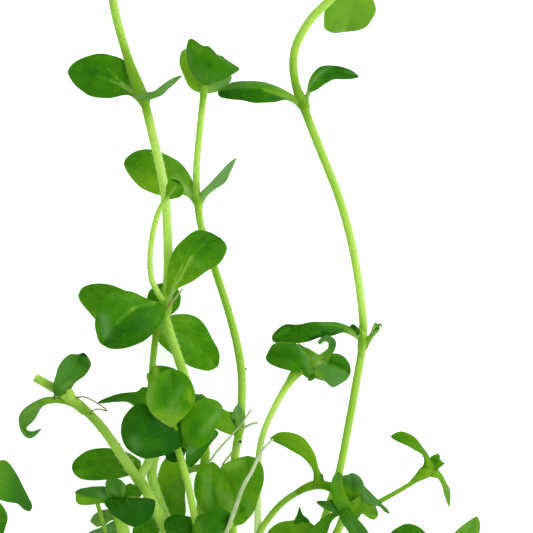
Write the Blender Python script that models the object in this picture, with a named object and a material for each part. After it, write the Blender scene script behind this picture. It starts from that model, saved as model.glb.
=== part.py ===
"""A hairy-stemmed bacopa plant lying on a flat surface: soft round stems, rounded leaves in opposite pairs.

The plant was seen from above, so every place is given as it shows in that view: picture pixels to the
right, picture pixels down, and the height above the surface in millimetres. The function placed() turns
such a place into metres. Widths, thicknesses and radii are real sizes in millimetres."""

import math

import bpy
import bmesh
from mathutils import Vector

MM = 0.001

# The view from above: its centre pixel, a pixel's size at the mean height, and the viewing point's height.
VIEW_CENTRE_PX = 266.5
PIXEL_MM = 0.28
MEAN_HEIGHT_MM = 18.0
VIEW_HEIGHT_MM = 1200.0
# The picture place that lies over the middle of the plant's box.
MIDDLE_PX = (230.1, 276.2)

LEAF_THICKNESS_MM = 0.5
LEAF_BASE_HALF_MM = 0.9
LEAF_TIP_HALF_MM = 0.35
LEAF_ROWS = 6
LEAF_COLUMNS = 4
STEM_SEGMENT_MM = 9.0
STEM_SIDES_STEP = 1

LEAF_GREEN = (0.10, 0.30, 0.02, 1.0)
DARK_LEAF_GREEN = (0.03, 0.14, 0.02, 1.0)
STEM_GREEN = (0.35, 0.60, 0.10, 1.0)
LEAF_ROUGHNESS = 0.45
STEM_ROUGHNESS = 0.55


def clear_scene():
    for found in list(bpy.data.objects):
        bpy.data.objects.remove(found, do_unlink=True)


def photo_view():
    """Where the viewing point stands, in metres, the pixel size and the mean height."""
    across = (VIEW_CENTRE_PX - MIDDLE_PX[0]) * PIXEL_MM
    along = (MIDDLE_PX[1] - VIEW_CENTRE_PX) * PIXEL_MM
    return across * MM, along * MM, VIEW_HEIGHT_MM * MM, PIXEL_MM * MM, MEAN_HEIGHT_MM * MM


def placed(pixel_x, pixel_y, height_mm):
    """The point at this height that the view from above shows at this pixel."""
    eye_x, eye_y, eye_z, pixel, mean = photo_view()
    nearness = (eye_z - height_mm * MM) / (eye_z - mean)
    x = eye_x + (pixel_x - VIEW_CENTRE_PX) * pixel * nearness
    y = eye_y - (pixel_y - VIEW_CENTRE_PX) * pixel * nearness
    return Vector((x, y, height_mm * MM))


def blend(start, end, share):
    return start + (end - start) * share


def smooth_point(points, reach, wanted):
    """A point of the smooth curve through points, wanted metres along its straight chords."""
    span = 0
    while span < len(points) - 2 and wanted > reach[span + 1]:
        span += 1
    first, second = points[span], points[span + 1]
    before = points[span - 1] if span > 0 else first * 2 - second
    after = points[span + 2] if span + 2 < len(points) else second * 2 - first
    share = (wanted - reach[span]) / max(reach[span + 1] - reach[span], 1e-9)
    square, cube = share * share, share ** 3
    return (
        before * (-0.5 * share + square - 0.5 * cube)
        + first * (1 - 2.5 * square + 1.5 * cube)
        + second * (0.5 * share + 2 * square - 1.5 * cube)
        + after * (-0.5 * square + 0.5 * cube)
    )


def course_points(places, shares, cut_mm):
    """Points at these shares of a smooth course, after its start is cut back."""
    points = [placed(*place) for place in places]
    reach = [0.0]
    for here, there in zip(points, points[1:]):
        reach.append(reach[-1] + (there - here).length)
    return [smooth_point(points, reach, blend(cut_mm * MM, reach[-1], share)) for share in shares]


def plant_material(name, colour, roughness):
    material = bpy.data.materials.new(name)
    material.use_nodes = True
    shader = material.node_tree.nodes["Principled BSDF"]
    shader.inputs["Base Color"].default_value = colour
    shader.inputs["Roughness"].default_value = roughness
    shader.inputs["Metallic"].default_value = 0.0
    return material


def stem(name, route, radii, cut=0.0):
    """A round stem along its route, cut back at its start, with its radius blended over the given radii."""
    points = [placed(*place) for place in route]
    length = sum((there - here).length for here, there in zip(points, points[1:]))
    steps = max(3, round(length / (STEM_SEGMENT_MM * MM)))
    shares = [step / steps for step in range(steps + 1)]
    course = course_points(route, shares, cut)
    curve = bpy.data.curves.new(name, "CURVE")
    curve.dimensions = "3D"
    curve.bevel_depth = MM
    curve.bevel_resolution = STEM_SIDES_STEP
    curve.use_fill_caps = True
    spline = curve.splines.new("POLY")
    spline.points.add(len(course) - 1)
    for step, point in enumerate(course):
        along = shares[step] * (len(radii) - 1)
        low = min(int(along), len(radii) - 2)
        spline.points[step].co = (*point, 1.0)
        spline.points[step].radius = blend(radii[low], radii[low + 1], along - low)
    curve.materials.append(plant_material(name, STEM_GREEN, STEM_ROUGHNESS))
    made = bpy.data.objects.new(name, curve)
    bpy.context.collection.objects.link(made)
    return made


def leaf_outline(share, tapers):
    """The half width at this share of the midrib: 1 at its widest, falling to 0 at base and tip."""
    base, tip = tapers
    widest = base / (base + tip)
    rise = (share / widest) ** base if share > 0 else 0.0
    fall = ((1 - share) / (1 - widest)) ** tip if share < 1 else 0.0
    return rise * fall


def leaf(
    name,
    midrib,
    left,
    right,
    tapers=(0.6, 0.5),
    roll=(0.0, 0.0),
    fold=8.0,
    cup=0.10,
    cut=1.6,
    colour=LEAF_GREEN,
):
    """A leaf along its midrib, base first.

    left and right are its greatest half widths in mm, seen from above and from base to tip. roll turns
    the blade about its midrib at the base and at the tip, raising the right side. fold raises both sides
    like a V, and cup bends their margins up, as a share of the half width. cut leaves room for the stem."""
    rows = [0.5 - 0.5 * math.cos(math.pi * row / LEAF_ROWS) for row in range(LEAF_ROWS + 1)]
    course = course_points(midrib, rows, cut)
    mesh = bmesh.new()
    grid = bmesh.ops.create_grid(mesh, x_segments=LEAF_COLUMNS, y_segments=LEAF_ROWS, size=1.0)
    for vertex in grid["verts"]:
        row = round((vertex.co.y + 1) / 2 * LEAF_ROWS)
        side = vertex.co.x
        share = rows[row]
        ahead = course[min(row + 1, LEAF_ROWS)]
        behind = course[max(row - 1, 0)]
        forward = (ahead - behind).normalized()
        across = forward.cross(Vector((0, 0, 1))).normalized()
        normal = across.cross(forward)
        turn = math.radians(blend(roll[0], roll[1], share))
        flat = across * math.cos(turn) + normal * math.sin(turn)
        up = normal * math.cos(turn) - across * math.sin(turn)
        greatest = right if side > 0 else left
        least = blend(LEAF_BASE_HALF_MM, LEAF_TIP_HALF_MM, share)
        half = max(greatest * leaf_outline(share, tapers), least) * MM
        reach = abs(side)
        rise = math.radians(fold)
        lift = reach * math.sin(rise) + cup * reach * reach
        vertex.co = course[row] + flat * (side * half * math.cos(rise)) + up * (half * lift)
    bmesh.ops.recalc_face_normals(mesh, faces=mesh.faces)
    data = bpy.data.meshes.new(name)
    mesh.to_mesh(data)
    mesh.free()
    data.shade_smooth()
    data.materials.append(plant_material(name, colour, LEAF_ROUGHNESS))
    made = bpy.data.objects.new(name, data)
    bpy.context.collection.objects.link(made)
    blade = made.modifiers.new("blade", "SOLIDIFY")
    blade.thickness = LEAF_THICKNESS_MM * MM
    blade.offset = 0.0
    return made


def base():
    stem(
        "base_stem",
        route=[
            (120, 600, 1.47), (160, 606, 1.82), (200, 604, 1.92), (245, 608, 1.92),
            (290, 602, 1.82), (322, 596, 1.42),
        ],
        radii=[1.7, 2.0, 2.1, 2.1, 2.0, 1.6],
    )


def stem_a():
    stem(
        "stem_a",
        route=[
            (199, 600, 5.5), (200, 560, 8.0), (201, 510, 12.0), (205, 460, 17.0), (202, 437, 19.0),
            (184, 375, 22.5), (166, 320, 24.0), (167, 300, 24.5), (167.5, 250, 24.0),
            (164, 190, 22.0), (151.5, 130, 18.5), (143, 98, 16.0), (129, 60, 13.5), (117, 20, 11.5),
            (108, -25, 10.0),
        ],
        radii=[1.3, 1.3, 1.3, 1.3, 1.3, 1.2, 1.2, 1.15, 1.1],
    )
    leaf(
        "leaf_a0_left",
        midrib=[(108, -27, 10.0), (90, -40, 8.0), (66, -52, 0.18)],
        left=5.0, right=5.0,
    )
    leaf(
        "leaf_a1_left",
        midrib=[(142, 97, 14.8), (120, 84, 9.0), (100, 77, 8.0), (68, 72, 5.0)],
        left=5.3, right=6.6, tapers=(0.45, 0.5), cut=2.0,
    )
    leaf(
        "leaf_a1_right",
        midrib=[(143, 97, 16.0), (154, 95, 18.0), (167, 86, 20.0), (181, 76, 21.0)],
        left=4.6, right=4.6, roll=(-76, -76),
    )
    leaf(
        "leaf_a2_left",
        midrib=[(168, 304, 25.5), (140, 309, 30.0), (120, 324, 31.0), (101, 346, 28.0)],
        left=8.0, right=5.8, tapers=(0.5, 0.5),
    )
    leaf(
        "leaf_a2_right",
        midrib=[
            (167, 297, 25.5), (180, 276, 27.5), (194, 256, 29.0), (208, 243, 29.0), (224, 239, 28.0),
        ],
        left=5.4, right=5.8, tapers=(0.8, 0.5), cut=2.0,
    )
    leaf(
        "leaf_a3_left",
        midrib=[(203, 469, 16.5), (180, 473, 11.5), (168, 488, 6.5), (171, 517, 3.0)],
        left=4.7, right=4.4, tapers=(0.5, 0.4), cut=1.9,
    )


def stem_f():
    stem(
        "stem_f",
        route=[
            (160, 298, 25.5), (152, 280, 28.0), (150, 258, 29.5), (153, 230, 30.0),
            (159, 210, 29.5), (169, 196, 28.5),
        ],
        radii=[0.75, 0.65, 0.6, 0.6, 0.6], cut=1.2,
    )


def stem_b():
    stem(
        "stem_b",
        route=[
            (235, 600, 5.5), (234, 560, 6.5), (232, 500, 8.5), (235, 457, 10.5), (240, 425, 12.0),
            (242, 390, 13.0), (240, 360, 14.0), (230, 320, 14.8), (214.5, 270, 15.0),
            (202, 230, 14.0), (198, 200, 13.5), (197, 170, 13.0), (200, 130, 12.5), (203, 92, 12.5),
        ],
        radii=[1.2, 1.2, 1.15, 1.1, 1.0, 0.95, 0.9, 0.85],
    )
    leaf(
        "leaf_b0_front",
        midrib=[(204, 87, 14.0), (203, 74, 19.0), (197, 57, 22.0), (190, 38, 21.0)],
        left=2.6, right=4.6, tapers=(0.5, 0.8),
    )
    leaf(
        "leaf_b0_back",
        midrib=[(205, 92, 11.0), (205, 80, 9.0), (206, 64, 8.0), (207, 46, 7.0)],
        left=7.4, right=7.0, tapers=(0.4, 0.4),
    )
    leaf(
        "leaf_b1_left",
        midrib=[(196, 199, 13.0), (176, 181, 11.0), (150, 169, 9.0), (124, 163, 5.0)],
        left=5.4, right=5.6,
    )
    leaf(
        "leaf_b1_right",
        midrib=[(200, 199, 13.5), (211, 186, 16.0), (224, 171, 18.0), (236, 158, 18.5)],
        left=4.5, right=4.5, roll=(-72, -72),
    )
    leaf(
        "leaf_b2_left",
        midrib=[(239, 428, 12.0), (224, 421, 14.0), (210, 412, 15.5), (198, 398, 16.0)],
        left=3.2, right=2.2,
    )


def stem_c():
    stem(
        "stem_c",
        route=[
            (292, 597, 5.0), (305, 565, 8.0), (322, 525, 13.0), (331, 500, 15.5), (340, 469, 17.5),
            (349, 425, 19.5), (356, 390, 20.5), (363.5, 338, 21.5), (361, 295, 21.5),
            (352, 244, 20.5), (339, 197, 19.0), (322.5, 153, 17.0), (306, 110, 15.0),
            (298, 90, 14.0), (293.5, 65, 13.5), (298, 38, 13.0), (311, 17, 13.2), (328, 1, 13.6),
            (346, -16, 13.2),
        ],
        radii=[1.2, 1.2, 1.15, 1.15, 1.1, 1.1, 1.1, 1.1, 1.1],
    )
    leaf(
        "leaf_c0_front",
        midrib=[(349, -18, 12.8), (351, -5, 11.4), (350, 14, 6.4), (345, 32, 0.2)],
        left=7.2, right=7.2, tapers=(0.5, 0.4), roll=(-8, -2), cut=2.4,
    )
    leaf(
        "leaf_c1_left",
        midrib=[(300, 105, 15.0), (280, 95, 17.5), (250, 90, 17.0), (218, 93, 12.0)],
        left=2.9, right=2.7, tapers=(0.8, 0.4),
    )
    leaf(
        "leaf_c1_right",
        midrib=[(306, 101, 15.0), (312, 85, 17.0), (328, 74, 18.0), (358, 77, 15.0)],
        left=2.2, right=2.4, tapers=(0.9, 0.6),
    )
    leaf(
        "leaf_c2_left",
        midrib=[(362, 339, 21.5), (342, 329, 24.0), (312, 331, 25.0), (273, 339, 22.0)],
        left=2.6, right=2.4, tapers=(1.0, 0.4),
    )


def stem_d():
    stem(
        "stem_d",
        route=[
            (252, 600, 5.5), (256, 560, 7.0), (256.5, 515, 9.5), (257, 470, 12.5), (259, 445, 14.0),
            (267, 420, 15.5), (282, 392, 17.0), (296, 371, 18.0),
        ],
        radii=[1.15, 1.15, 1.1, 1.05, 1.0, 1.0],
    )
    leaf(
        "leaf_d_left",
        midrib=[(299, 369, 18.5), (292, 362, 19.5), (281, 356, 20.0), (267, 355, 18.0)],
        left=2.8, right=5.2,
    )
    leaf(
        "leaf_d_right",
        midrib=[(300, 369, 18.5), (316, 365, 20.5), (333, 367, 20.5), (350, 374, 18.0)],
        left=3.8, right=4.9, tapers=(0.8, 0.45),
    )


def stem_e():
    stem(
        "stem_e",
        route=[
            (176, 600, 5.0), (173, 560, 8.5), (165, 528, 12.5), (155, 508, 14.5),
            (145.5, 490, 16.0), (130, 468, 17.0), (114, 444, 18.0), (99, 424, 18.0),
            (81, 406, 17.5), (66, 395, 17.0), (53, 387.5, 16.5), (36, 378, 15.5),
        ],
        radii=[1.5, 1.5, 1.55, 1.6, 1.5, 1.35, 1.3, 1.3],
    )
    leaf(
        "leaf_e1_top",
        midrib=[(64, 395, 17.5), (65, 384, 20.0), (74, 369, 22.0), (87, 355, 21.0)],
        left=3.6, right=3.7, tapers=(0.7, 0.5),
    )
    leaf(
        "leaf_e1_left",
        midrib=[
            (62, 399, 17.0), (45, 400.5, 16.0), (29, 410, 12.5), (21, 424, 7.0), (27, 436, 2.5),
            (40, 430, 0.23),
        ],
        left=2.2, right=2.2, tapers=(0.7, 0.6), roll=(30, 0),
    )
    leaf(
        "leaf_e2_left",
        midrib=[(142, 462, 12.0), (120, 462, 11.0), (97, 464, 9.5), (72, 466, 7.0)],
        left=4.6, right=4.6,
    )


def stem_m():
    stem(
        "stem_m",
        route=[
            (141, 476, 16.5), (149, 460, 16.5), (151, 430, 16.5), (151, 388, 17.0),
            (153.5, 355, 17.5), (157, 324, 17.5),
        ],
        radii=[1.3, 1.1, 1.0, 1.0, 0.95, 0.9], cut=2.4,
    )
    leaf(
        "leaf_m0",
        midrib=[(160, 317, 16.5), (163, 302, 18.0), (165, 281, 18.5)],
        left=4.9, right=4.8,
    )
    leaf(
        "leaf_m1_left",
        midrib=[(154, 332, 17.5), (128, 318, 15.5), (104, 302, 12.0), (79, 289, 7.0)],
        left=5.2, right=4.9,
    )
    leaf(
        "leaf_m1_right",
        midrib=[(157, 331, 17.0), (176, 333, 15.0), (199, 345, 12.0), (217, 368, 8.0)],
        left=6.2, right=6.2, tapers=(0.5, 0.45),
    )
    leaf(
        "leaf_m2_left",
        midrib=[(150, 398, 17.0), (135, 398, 19.0), (118, 399, 19.5), (98, 403, 17.0)],
        left=3.2, right=3.2, roll=(-64, -64),
    )


def stem_n():
    stem(
        "stem_n",
        route=[
            (187.5, 600, 4.6), (184, 560, 5.6), (168, 522, 8.2), (160, 503, 10.0), (155, 487, 11.0),
            (154, 470, 11.5), (160, 452, 12.0),
        ],
        radii=[1.15, 1.15, 1.1, 1.1, 1.0],
    )


def stem_g():
    stem(
        "stem_g",
        route=[
            (212, 600, 5.5), (208, 560, 12.0), (196, 522, 22.0), (187, 480, 31.0),
            (177.5, 448, 36.0), (174, 437, 37.5),
        ],
        radii=[1.1, 1.05, 1.0, 1.0],
    )
    leaf(
        "leaf_g_left",
        midrib=[(172, 436, 38.5), (160, 433, 39.5), (141, 431, 40.0), (122, 432, 37.0)],
        left=7.1, right=7.1, tapers=(0.4, 0.5), colour=DARK_LEAF_GREEN,
    )
    leaf(
        "leaf_g_top",
        midrib=[(172, 431, 40.0), (172, 418, 44.5), (171, 395, 47.5), (171, 369, 46.5)],
        left=7.0, right=7.0,
    )
    leaf(
        "leaf_g_right",
        midrib=[(177, 436, 38.5), (190, 432, 40.0), (204, 424, 40.0), (217, 411, 37.0)],
        left=6.2, right=6.8,
    )


def stem_h():
    stem(
        "stem_h",
        route=[
            (142, 600, 5.3), (130, 560, 9.5), (121.5, 525, 14.0), (119, 510, 16.5), (122, 498, 18.0),
        ],
        radii=[1.6, 1.65, 1.6, 1.5],
    )
    leaf(
        "leaf_h_front",
        midrib=[(126, 497, 19.0), (128, 502, 25.0), (131, 512, 30.0), (134, 527, 33.0)],
        left=7.4, right=7.2, tapers=(0.3, 0.5), colour=DARK_LEAF_GREEN,
    )
    leaf(
        "leaf_h_left",
        midrib=[(120, 498, 18.5), (106, 498, 20.0), (90, 495, 19.0), (75, 492, 16.0)],
        left=2.9, right=2.6,
    )


def stem_p():
    stem(
        "stem_p",
        route=[(223, 600, 4.8), (218, 560, 8.5), (221, 538, 13.5), (227, 527, 16.0)],
        radii=[1.0, 1.0, 0.95],
    )
    leaf(
        "leaf_p_left",
        midrib=[(226, 525, 17.0), (217, 508, 20.5), (211, 487, 22.5), (209, 462, 22.0)],
        left=4.6, right=5.0,
    )
    leaf(
        "leaf_p_right",
        midrib=[(231, 526, 16.5), (240, 507, 18.5), (244, 485, 20.0), (244, 455, 20.0)],
        left=5.6, right=5.4,
    )
    leaf(
        "leaf_y_right",
        midrib=[(196, 552, 24.0), (204, 536, 28.0), (216, 525, 29.0), (232, 522, 27.0)],
        left=3.8, right=3.6, colour=DARK_LEAF_GREEN,
    )


def stem_i():
    stem(
        "stem_i",
        route=[
            (258, 536, 9.0), (266, 522, 11.0), (281, 504, 14.0), (300, 491, 17.0), (318, 485, 18.5),
        ],
        radii=[0.9, 0.9, 0.85, 1.0], cut=2.8,
    )
    leaf(
        "leaf_i_left",
        midrib=[
            (319, 484, 19.0), (316, 469, 21.5), (308, 452, 23.0), (292, 440, 23.0), (270, 438, 20.0),
        ],
        left=2.3, right=2.3, tapers=(0.7, 0.6),
    )


def stem_j():
    stem(
        "stem_j",
        route=[
            (308, 598, 4.5), (320, 565, 10.0), (338, 530, 18.0), (345, 512, 22.0), (348, 502, 24.0),
        ],
        radii=[1.2, 1.2, 1.15, 1.1],
    )
    leaf(
        "leaf_j_top",
        midrib=[(350, 499, 25.5), (353, 491, 27.5), (356, 482, 28.0), (355, 472, 27.0)],
        left=3.0, right=3.0, colour=DARK_LEAF_GREEN,
    )
    leaf(
        "leaf_j_front",
        midrib=[(344, 504, 26.0), (348, 514, 30.0), (356, 528, 31.0), (370, 552, 26.0)],
        left=2.7, right=2.5, tapers=(0.4, 0.6), colour=DARK_LEAF_GREEN,
    )
    leaf(
        "leaf_q",
        midrib=[(322, 558, 12.0), (308, 546, 13.0), (293, 540, 12.0), (266, 542, 8.0)],
        left=4.0, right=5.2, colour=DARK_LEAF_GREEN,
    )


def stem_k():
    stem(
        "stem_k",
        route=[
            (352, 503, 24.0), (368, 505, 23.5), (380, 500.5, 23.0), (400, 489, 21.0),
            (418, 478, 18.5), (432, 470, 17.0),
        ],
        radii=[0.9, 0.8, 0.7, 0.75], cut=2.4,
    )
    leaf(
        "leaf_k_left",
        midrib=[(430, 468, 17.5), (426, 456, 20.0), (413, 443, 21.0), (391, 436, 19.0)],
        left=1.5, right=1.5,
    )
    leaf(
        "leaf_k_right",
        midrib=[(434, 471, 16.5), (442, 477, 14.0), (446.5, 490, 7.0), (449, 507, 0.15)],
        left=1.3, right=1.3, roll=(40, 0),
    )


def stem_l():
    stem(
        "stem_l",
        route=[
            (128, 600, 3.5), (90, 600, 4.0), (50, 588, 5.0), (8, 562, 7.0), (-15, 530, 9.5),
            (-17, 502, 12.0), (-11, 484, 13.5),
        ],
        radii=[1.0, 1.0, 0.95, 0.9], cut=3.6,
    )
    leaf(
        "leaf_l_upper",
        midrib=[(-9, 481, 14.5), (3, 480, 16.0), (16, 490, 14.0), (30, 511, 8.0)],
        left=3.8, right=3.2, tapers=(0.5, 0.7),
    )
    leaf(
        "leaf_l_lower",
        midrib=[(-16, 496, 13.0), (-4, 504, 12.5), (1, 520, 7.0), (-1, 545, 0.2)],
        left=2.0, right=2.0, cut=1.8,
    )


def stem_s():
    stem(
        "stem_s",
        route=[(322, 594, 2.5), (360, 588, 4.0), (400, 578, 6.0), (436, 563, 8.0)],
        radii=[1.0, 1.0, 0.9], cut=2.6,
    )
    leaf(
        "leaf_s_left",
        midrib=[(437, 560, 8.5), (424, 548, 10.0), (408, 541, 9.0), (386, 539, 5.0)],
        left=4.6, right=4.6, colour=DARK_LEAF_GREEN,
    )
    leaf(
        "leaf_s_right",
        midrib=[(440, 561, 8.5), (452, 551, 10.0), (464, 537, 9.0), (477, 518, 5.0)],
        left=3.2, right=3.2,
    )


def main():
    clear_scene()
    for section in (
        base, stem_a, stem_f, stem_b, stem_c, stem_d, stem_e, stem_m, stem_n,
        stem_g, stem_h, stem_p, stem_i, stem_j, stem_k, stem_l, stem_s,
    ):
        section()


main()
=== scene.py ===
# Bacopa plant, lying on a pale surface: round hairy stems with rounded leaves in opposite pairs.
import math
import random

import bmesh
import bpy
from mathutils import Matrix, Vector


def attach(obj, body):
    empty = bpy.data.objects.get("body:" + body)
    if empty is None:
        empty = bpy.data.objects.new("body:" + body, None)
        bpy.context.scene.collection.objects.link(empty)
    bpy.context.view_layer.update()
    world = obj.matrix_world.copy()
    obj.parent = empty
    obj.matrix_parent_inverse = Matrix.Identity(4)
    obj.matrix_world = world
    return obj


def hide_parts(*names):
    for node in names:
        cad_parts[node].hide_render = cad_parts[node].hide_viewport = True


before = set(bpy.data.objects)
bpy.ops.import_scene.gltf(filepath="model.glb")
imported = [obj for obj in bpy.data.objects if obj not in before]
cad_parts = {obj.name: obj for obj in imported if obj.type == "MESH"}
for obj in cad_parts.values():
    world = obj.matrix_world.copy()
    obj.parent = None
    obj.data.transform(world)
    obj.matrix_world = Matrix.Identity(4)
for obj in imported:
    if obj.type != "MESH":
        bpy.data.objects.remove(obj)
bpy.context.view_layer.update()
print("frame loaded")

mm = 0.001
chance = random.Random(7)

# The plant was seen straight from above. Places are given as that view shows them:
# pixels to the right, pixels down, and the height above the surface in mm.
view = {
    "centrePx": 266.5,       # the middle of the 533 px picture
    "pixelMm": 0.28,         # a pixel's size at the mean height
    "meanHeightMm": 18.0,
    "eyeHeightMm": 1200.0,
    "middlePx": (230.1, 276.2),  # the picture place over the middle of the plant's box
    "picturePx": 533,
    "sensorMm": 36.0,
}
eye = Vector((
    (view["centrePx"] - view["middlePx"][0]) * view["pixelMm"] * mm,
    (view["middlePx"][1] - view["centrePx"]) * view["pixelMm"] * mm,
    view["eyeHeightMm"] * mm,
))
meanDistance = (view["eyeHeightMm"] - view["meanHeightMm"]) * mm


def at(px, py, heightMm):
    # the point at this height that the view shows at this pixel
    distance = eye.z - heightMm * mm
    pixel = view["pixelMm"] * mm * distance / meanDistance
    return Vector((
        eye.x + (px - view["centrePx"]) * pixel,
        eye.y - (py - view["centrePx"]) * pixel,
        heightMm * mm,
    ))


def seen(point):
    # the pixel at which the view shows this point
    pixel = view["pixelMm"] * mm * (eye.z - point.z) / meanDistance
    return Vector((
        view["centrePx"] + (point.x - eye.x) / pixel,
        view["centrePx"] - (point.y - eye.y) / pixel,
    ))


def blend(first, last, share):
    return first + (last - first) * share


def among(values, share):
    # a value read from a list whose entries stand at equal shares of the way
    place = min(max(share, 0.0), 1.0) * (len(values) - 1)
    low = min(int(place), len(values) - 2)
    return blend(values[low], values[low + 1], place - low)


def easedAmong(values, share):
    # the same on a smooth curve through the entries
    place = min(max(share, 0.0), 1.0) * (len(values) - 1)
    low = min(int(place), len(values) - 2)
    t = place - low
    first, last = values[low], values[low + 1]
    before = values[low - 1] if low > 0 else 2 * first - last
    after = values[low + 2] if low + 2 < len(values) else 2 * last - first
    return 0.5 * (
        2 * first + (last - before) * t
        + (2 * before - 5 * first + 4 * last - after) * t ** 2
        + (3 * first - 3 * last + after - before) * t ** 3
    )


# Shader helpers: a value may be a number or another node's output


def addNode(tree, kind, inputs=None, **settings):
    node = tree.nodes.new(kind)
    for name, value in settings.items():
        setattr(node, name, value)
    for name, value in (inputs or {}).items():
        if isinstance(value, bpy.types.NodeSocket):
            tree.links.new(value, node.inputs[name])
        else:
            node.inputs[name].default_value = value
    return node


def readAttribute(tree, label):
    return addNode(tree, "ShaderNodeAttribute", attribute_name=label).outputs["Fac"]


def calculate(tree, operation, first, second=0.0, third=0.0):
    node = addNode(tree, "ShaderNodeMath", {0: first, 1: second, 2: third}, operation=operation)
    return node.outputs[0]


def product(tree, first, *others):
    for other in others:
        first = calculate(tree, "MULTIPLY", first, other)
    return first


def raised(tree, base, value, amount):
    # base plus amount times value
    return calculate(tree, "MULTIPLY_ADD", value, amount, base)


def swayed(tree, base, value, amount):
    # the same, less where value is below 0.5 and more above
    return raised(tree, calculate(tree, "SUBTRACT", base, amount / 2), value, amount)


def fadeIn(tree, value, low, high):
    # 0 at low, 1 at high, smooth between
    node = addNode(tree, "ShaderNodeMapRange", {"Value": value, "From Min": low, "From Max": high},
                   interpolation_type="SMOOTHSTEP")
    return node.outputs["Result"]


def mixColour(tree, share, first, second):
    # sockets 6 and 7 take the two colours, output 2 gives their mix
    node = addNode(tree, "ShaderNodeMix", {"Factor": share, 6: first, 7: second}, data_type="RGBA")
    return node.outputs[2]


def addRamp(tree, share, first, last, between):
    ramp = addNode(tree, "ShaderNodeValToRGB", {"Fac": share})
    ramp.color_ramp.elements[0].color = first
    ramp.color_ramp.elements[1].color = last
    for place, colour in between:
        ramp.color_ramp.elements.new(place).color = colour
    return ramp.outputs["Color"]


def newGroup(name, inputs, outputs):
    group = bpy.data.node_groups.new(name, "ShaderNodeTree")
    for label, value in inputs.items():
        socket = group.interface.new_socket(label, in_out="INPUT", socket_type="NodeSocketFloat")
        socket.default_value = value
    for label in outputs:
        group.interface.new_socket(label, in_out="OUTPUT", socket_type="NodeSocketFloat")
    return group, group.nodes.new("NodeGroupInput"), group.nodes.new("NodeGroupOutput")


def makeMottleGroup():
    # soft patches, fine grain and scattered dark specks, all on Object coordinates
    group, given, out = newGroup(
        "mottle",
        {"Patch Scale": 260.0, "Grain Scale": 2200.0, "Speck Scale": 700.0, "Speck Size": 0.12},
        ("Patches", "Grain", "Specks"),
    )
    place = addNode(group, "ShaderNodeTexCoord").outputs["Object"]
    patches = addNode(group, "ShaderNodeTexNoise", {
        "Vector": place, "Scale": given.outputs["Patch Scale"], "Detail": 3.0, "Roughness": 0.55})
    grain = addNode(group, "ShaderNodeTexNoise", {
        "Vector": place, "Scale": given.outputs["Grain Scale"], "Detail": 2.0, "Roughness": 0.7})
    specks = addNode(group, "ShaderNodeTexVoronoi", {
        "Vector": place, "Scale": given.outputs["Speck Scale"]})
    dot = calculate(group, "LESS_THAN", specks.outputs["Distance"], given.outputs["Speck Size"])
    group.links.new(patches.outputs["Fac"], out.inputs["Patches"])
    group.links.new(grain.outputs["Fac"], out.inputs["Grain"])
    group.links.new(dot, out.inputs["Specks"])
    return group


veinForm = {
    "narrowing": -0.7,         # how much thinner the veins are at the tip
    "bend": 3.0,               # brings the side veins closer to the midrib at base and tip
    "secondPair": 0.7,         # strength of the outer pair of side veins
    "feathers": 60.0, "featherSlant": -0.5, "featherSharpness": 3.0,
    "waverScale": 4.0,
}


def makeVeinGroup():
    # midrib and two pairs of side veins that run from the base, on the leaf's own UV map
    form = veinForm
    group, given, out = newGroup(
        "leafVeins",
        {"Midrib Width": 0.07, "Vein Width": 0.05, "First Vein": 0.30, "Second Vein": 0.58, "Waver": 0.10},
        ("Midrib", "Side Veins", "Feather", "Along"),
    )
    flat = addNode(group, "ShaderNodeUVMap", uv_map="UVMap").outputs["UV"]
    split = addNode(group, "ShaderNodeSeparateXYZ", {"Vector": flat})
    along = split.outputs["Y"]
    waver = addNode(group, "ShaderNodeTexNoise", {
        "Vector": flat, "Scale": form["waverScale"], "Detail": 2.0})
    shift = calculate(group, "SUBTRACT", waver.outputs["Fac"], 0.5)
    shift = product(group, shift, given.outputs["Waver"])
    side = calculate(group, "SUBTRACT", product(group, split.outputs["X"], 2.0), 1.0)    # -1 left, 1 right
    across = calculate(group, "ABSOLUTE", calculate(group, "ADD", side, shift))
    thin = raised(group, 1.0, along, form["narrowing"])

    def line(place, width):
        gap = calculate(group, "ABSOLUTE", calculate(group, "SUBTRACT", across, place))
        ridge = calculate(group, "SUBTRACT", 1.0, calculate(group, "DIVIDE", gap, width))
        return calculate(group, "MAXIMUM", ridge, 0.0)

    rib = line(0.0, product(group, thin, given.outputs["Midrib Width"]))
    veinWidth = product(group, thin, given.outputs["Vein Width"])
    bend = calculate(group, "SINE", product(group, along, form["bend"]))
    first = line(product(group, given.outputs["First Vein"], bend), veinWidth)
    second = line(product(group, given.outputs["Second Vein"], bend), veinWidth)
    sides = calculate(group, "MAXIMUM", first, product(group, second, form["secondPair"]))
    slant = calculate(group, "ADD", raised(group, along, across, form["featherSlant"]), shift)
    feather = calculate(group, "SINE", product(group, slant, form["feathers"]))
    feather = calculate(group, "POWER", calculate(group, "MAXIMUM", feather, 0.0), form["featherSharpness"])
    for label, value in (("Midrib", rib), ("Side Veins", sides), ("Feather", feather), ("Along", along)):
        group.links.new(value, out.inputs[label])
    return group


mottleGroup = makeMottleGroup()
veinGroup = makeVeinGroup()


def newSkin(name):
    skin = bpy.data.materials.new(name)
    skin.use_nodes = True
    return skin, skin.node_tree, skin.node_tree.nodes["Principled BSDF"]


def addBump(tree, shader, height, strength, distanceM):
    bump = addNode(tree, "ShaderNodeBump", {"Height": height, "Strength": strength, "Distance": distanceM})
    tree.links.new(bump.outputs["Normal"], shader.inputs["Normal"])


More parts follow.
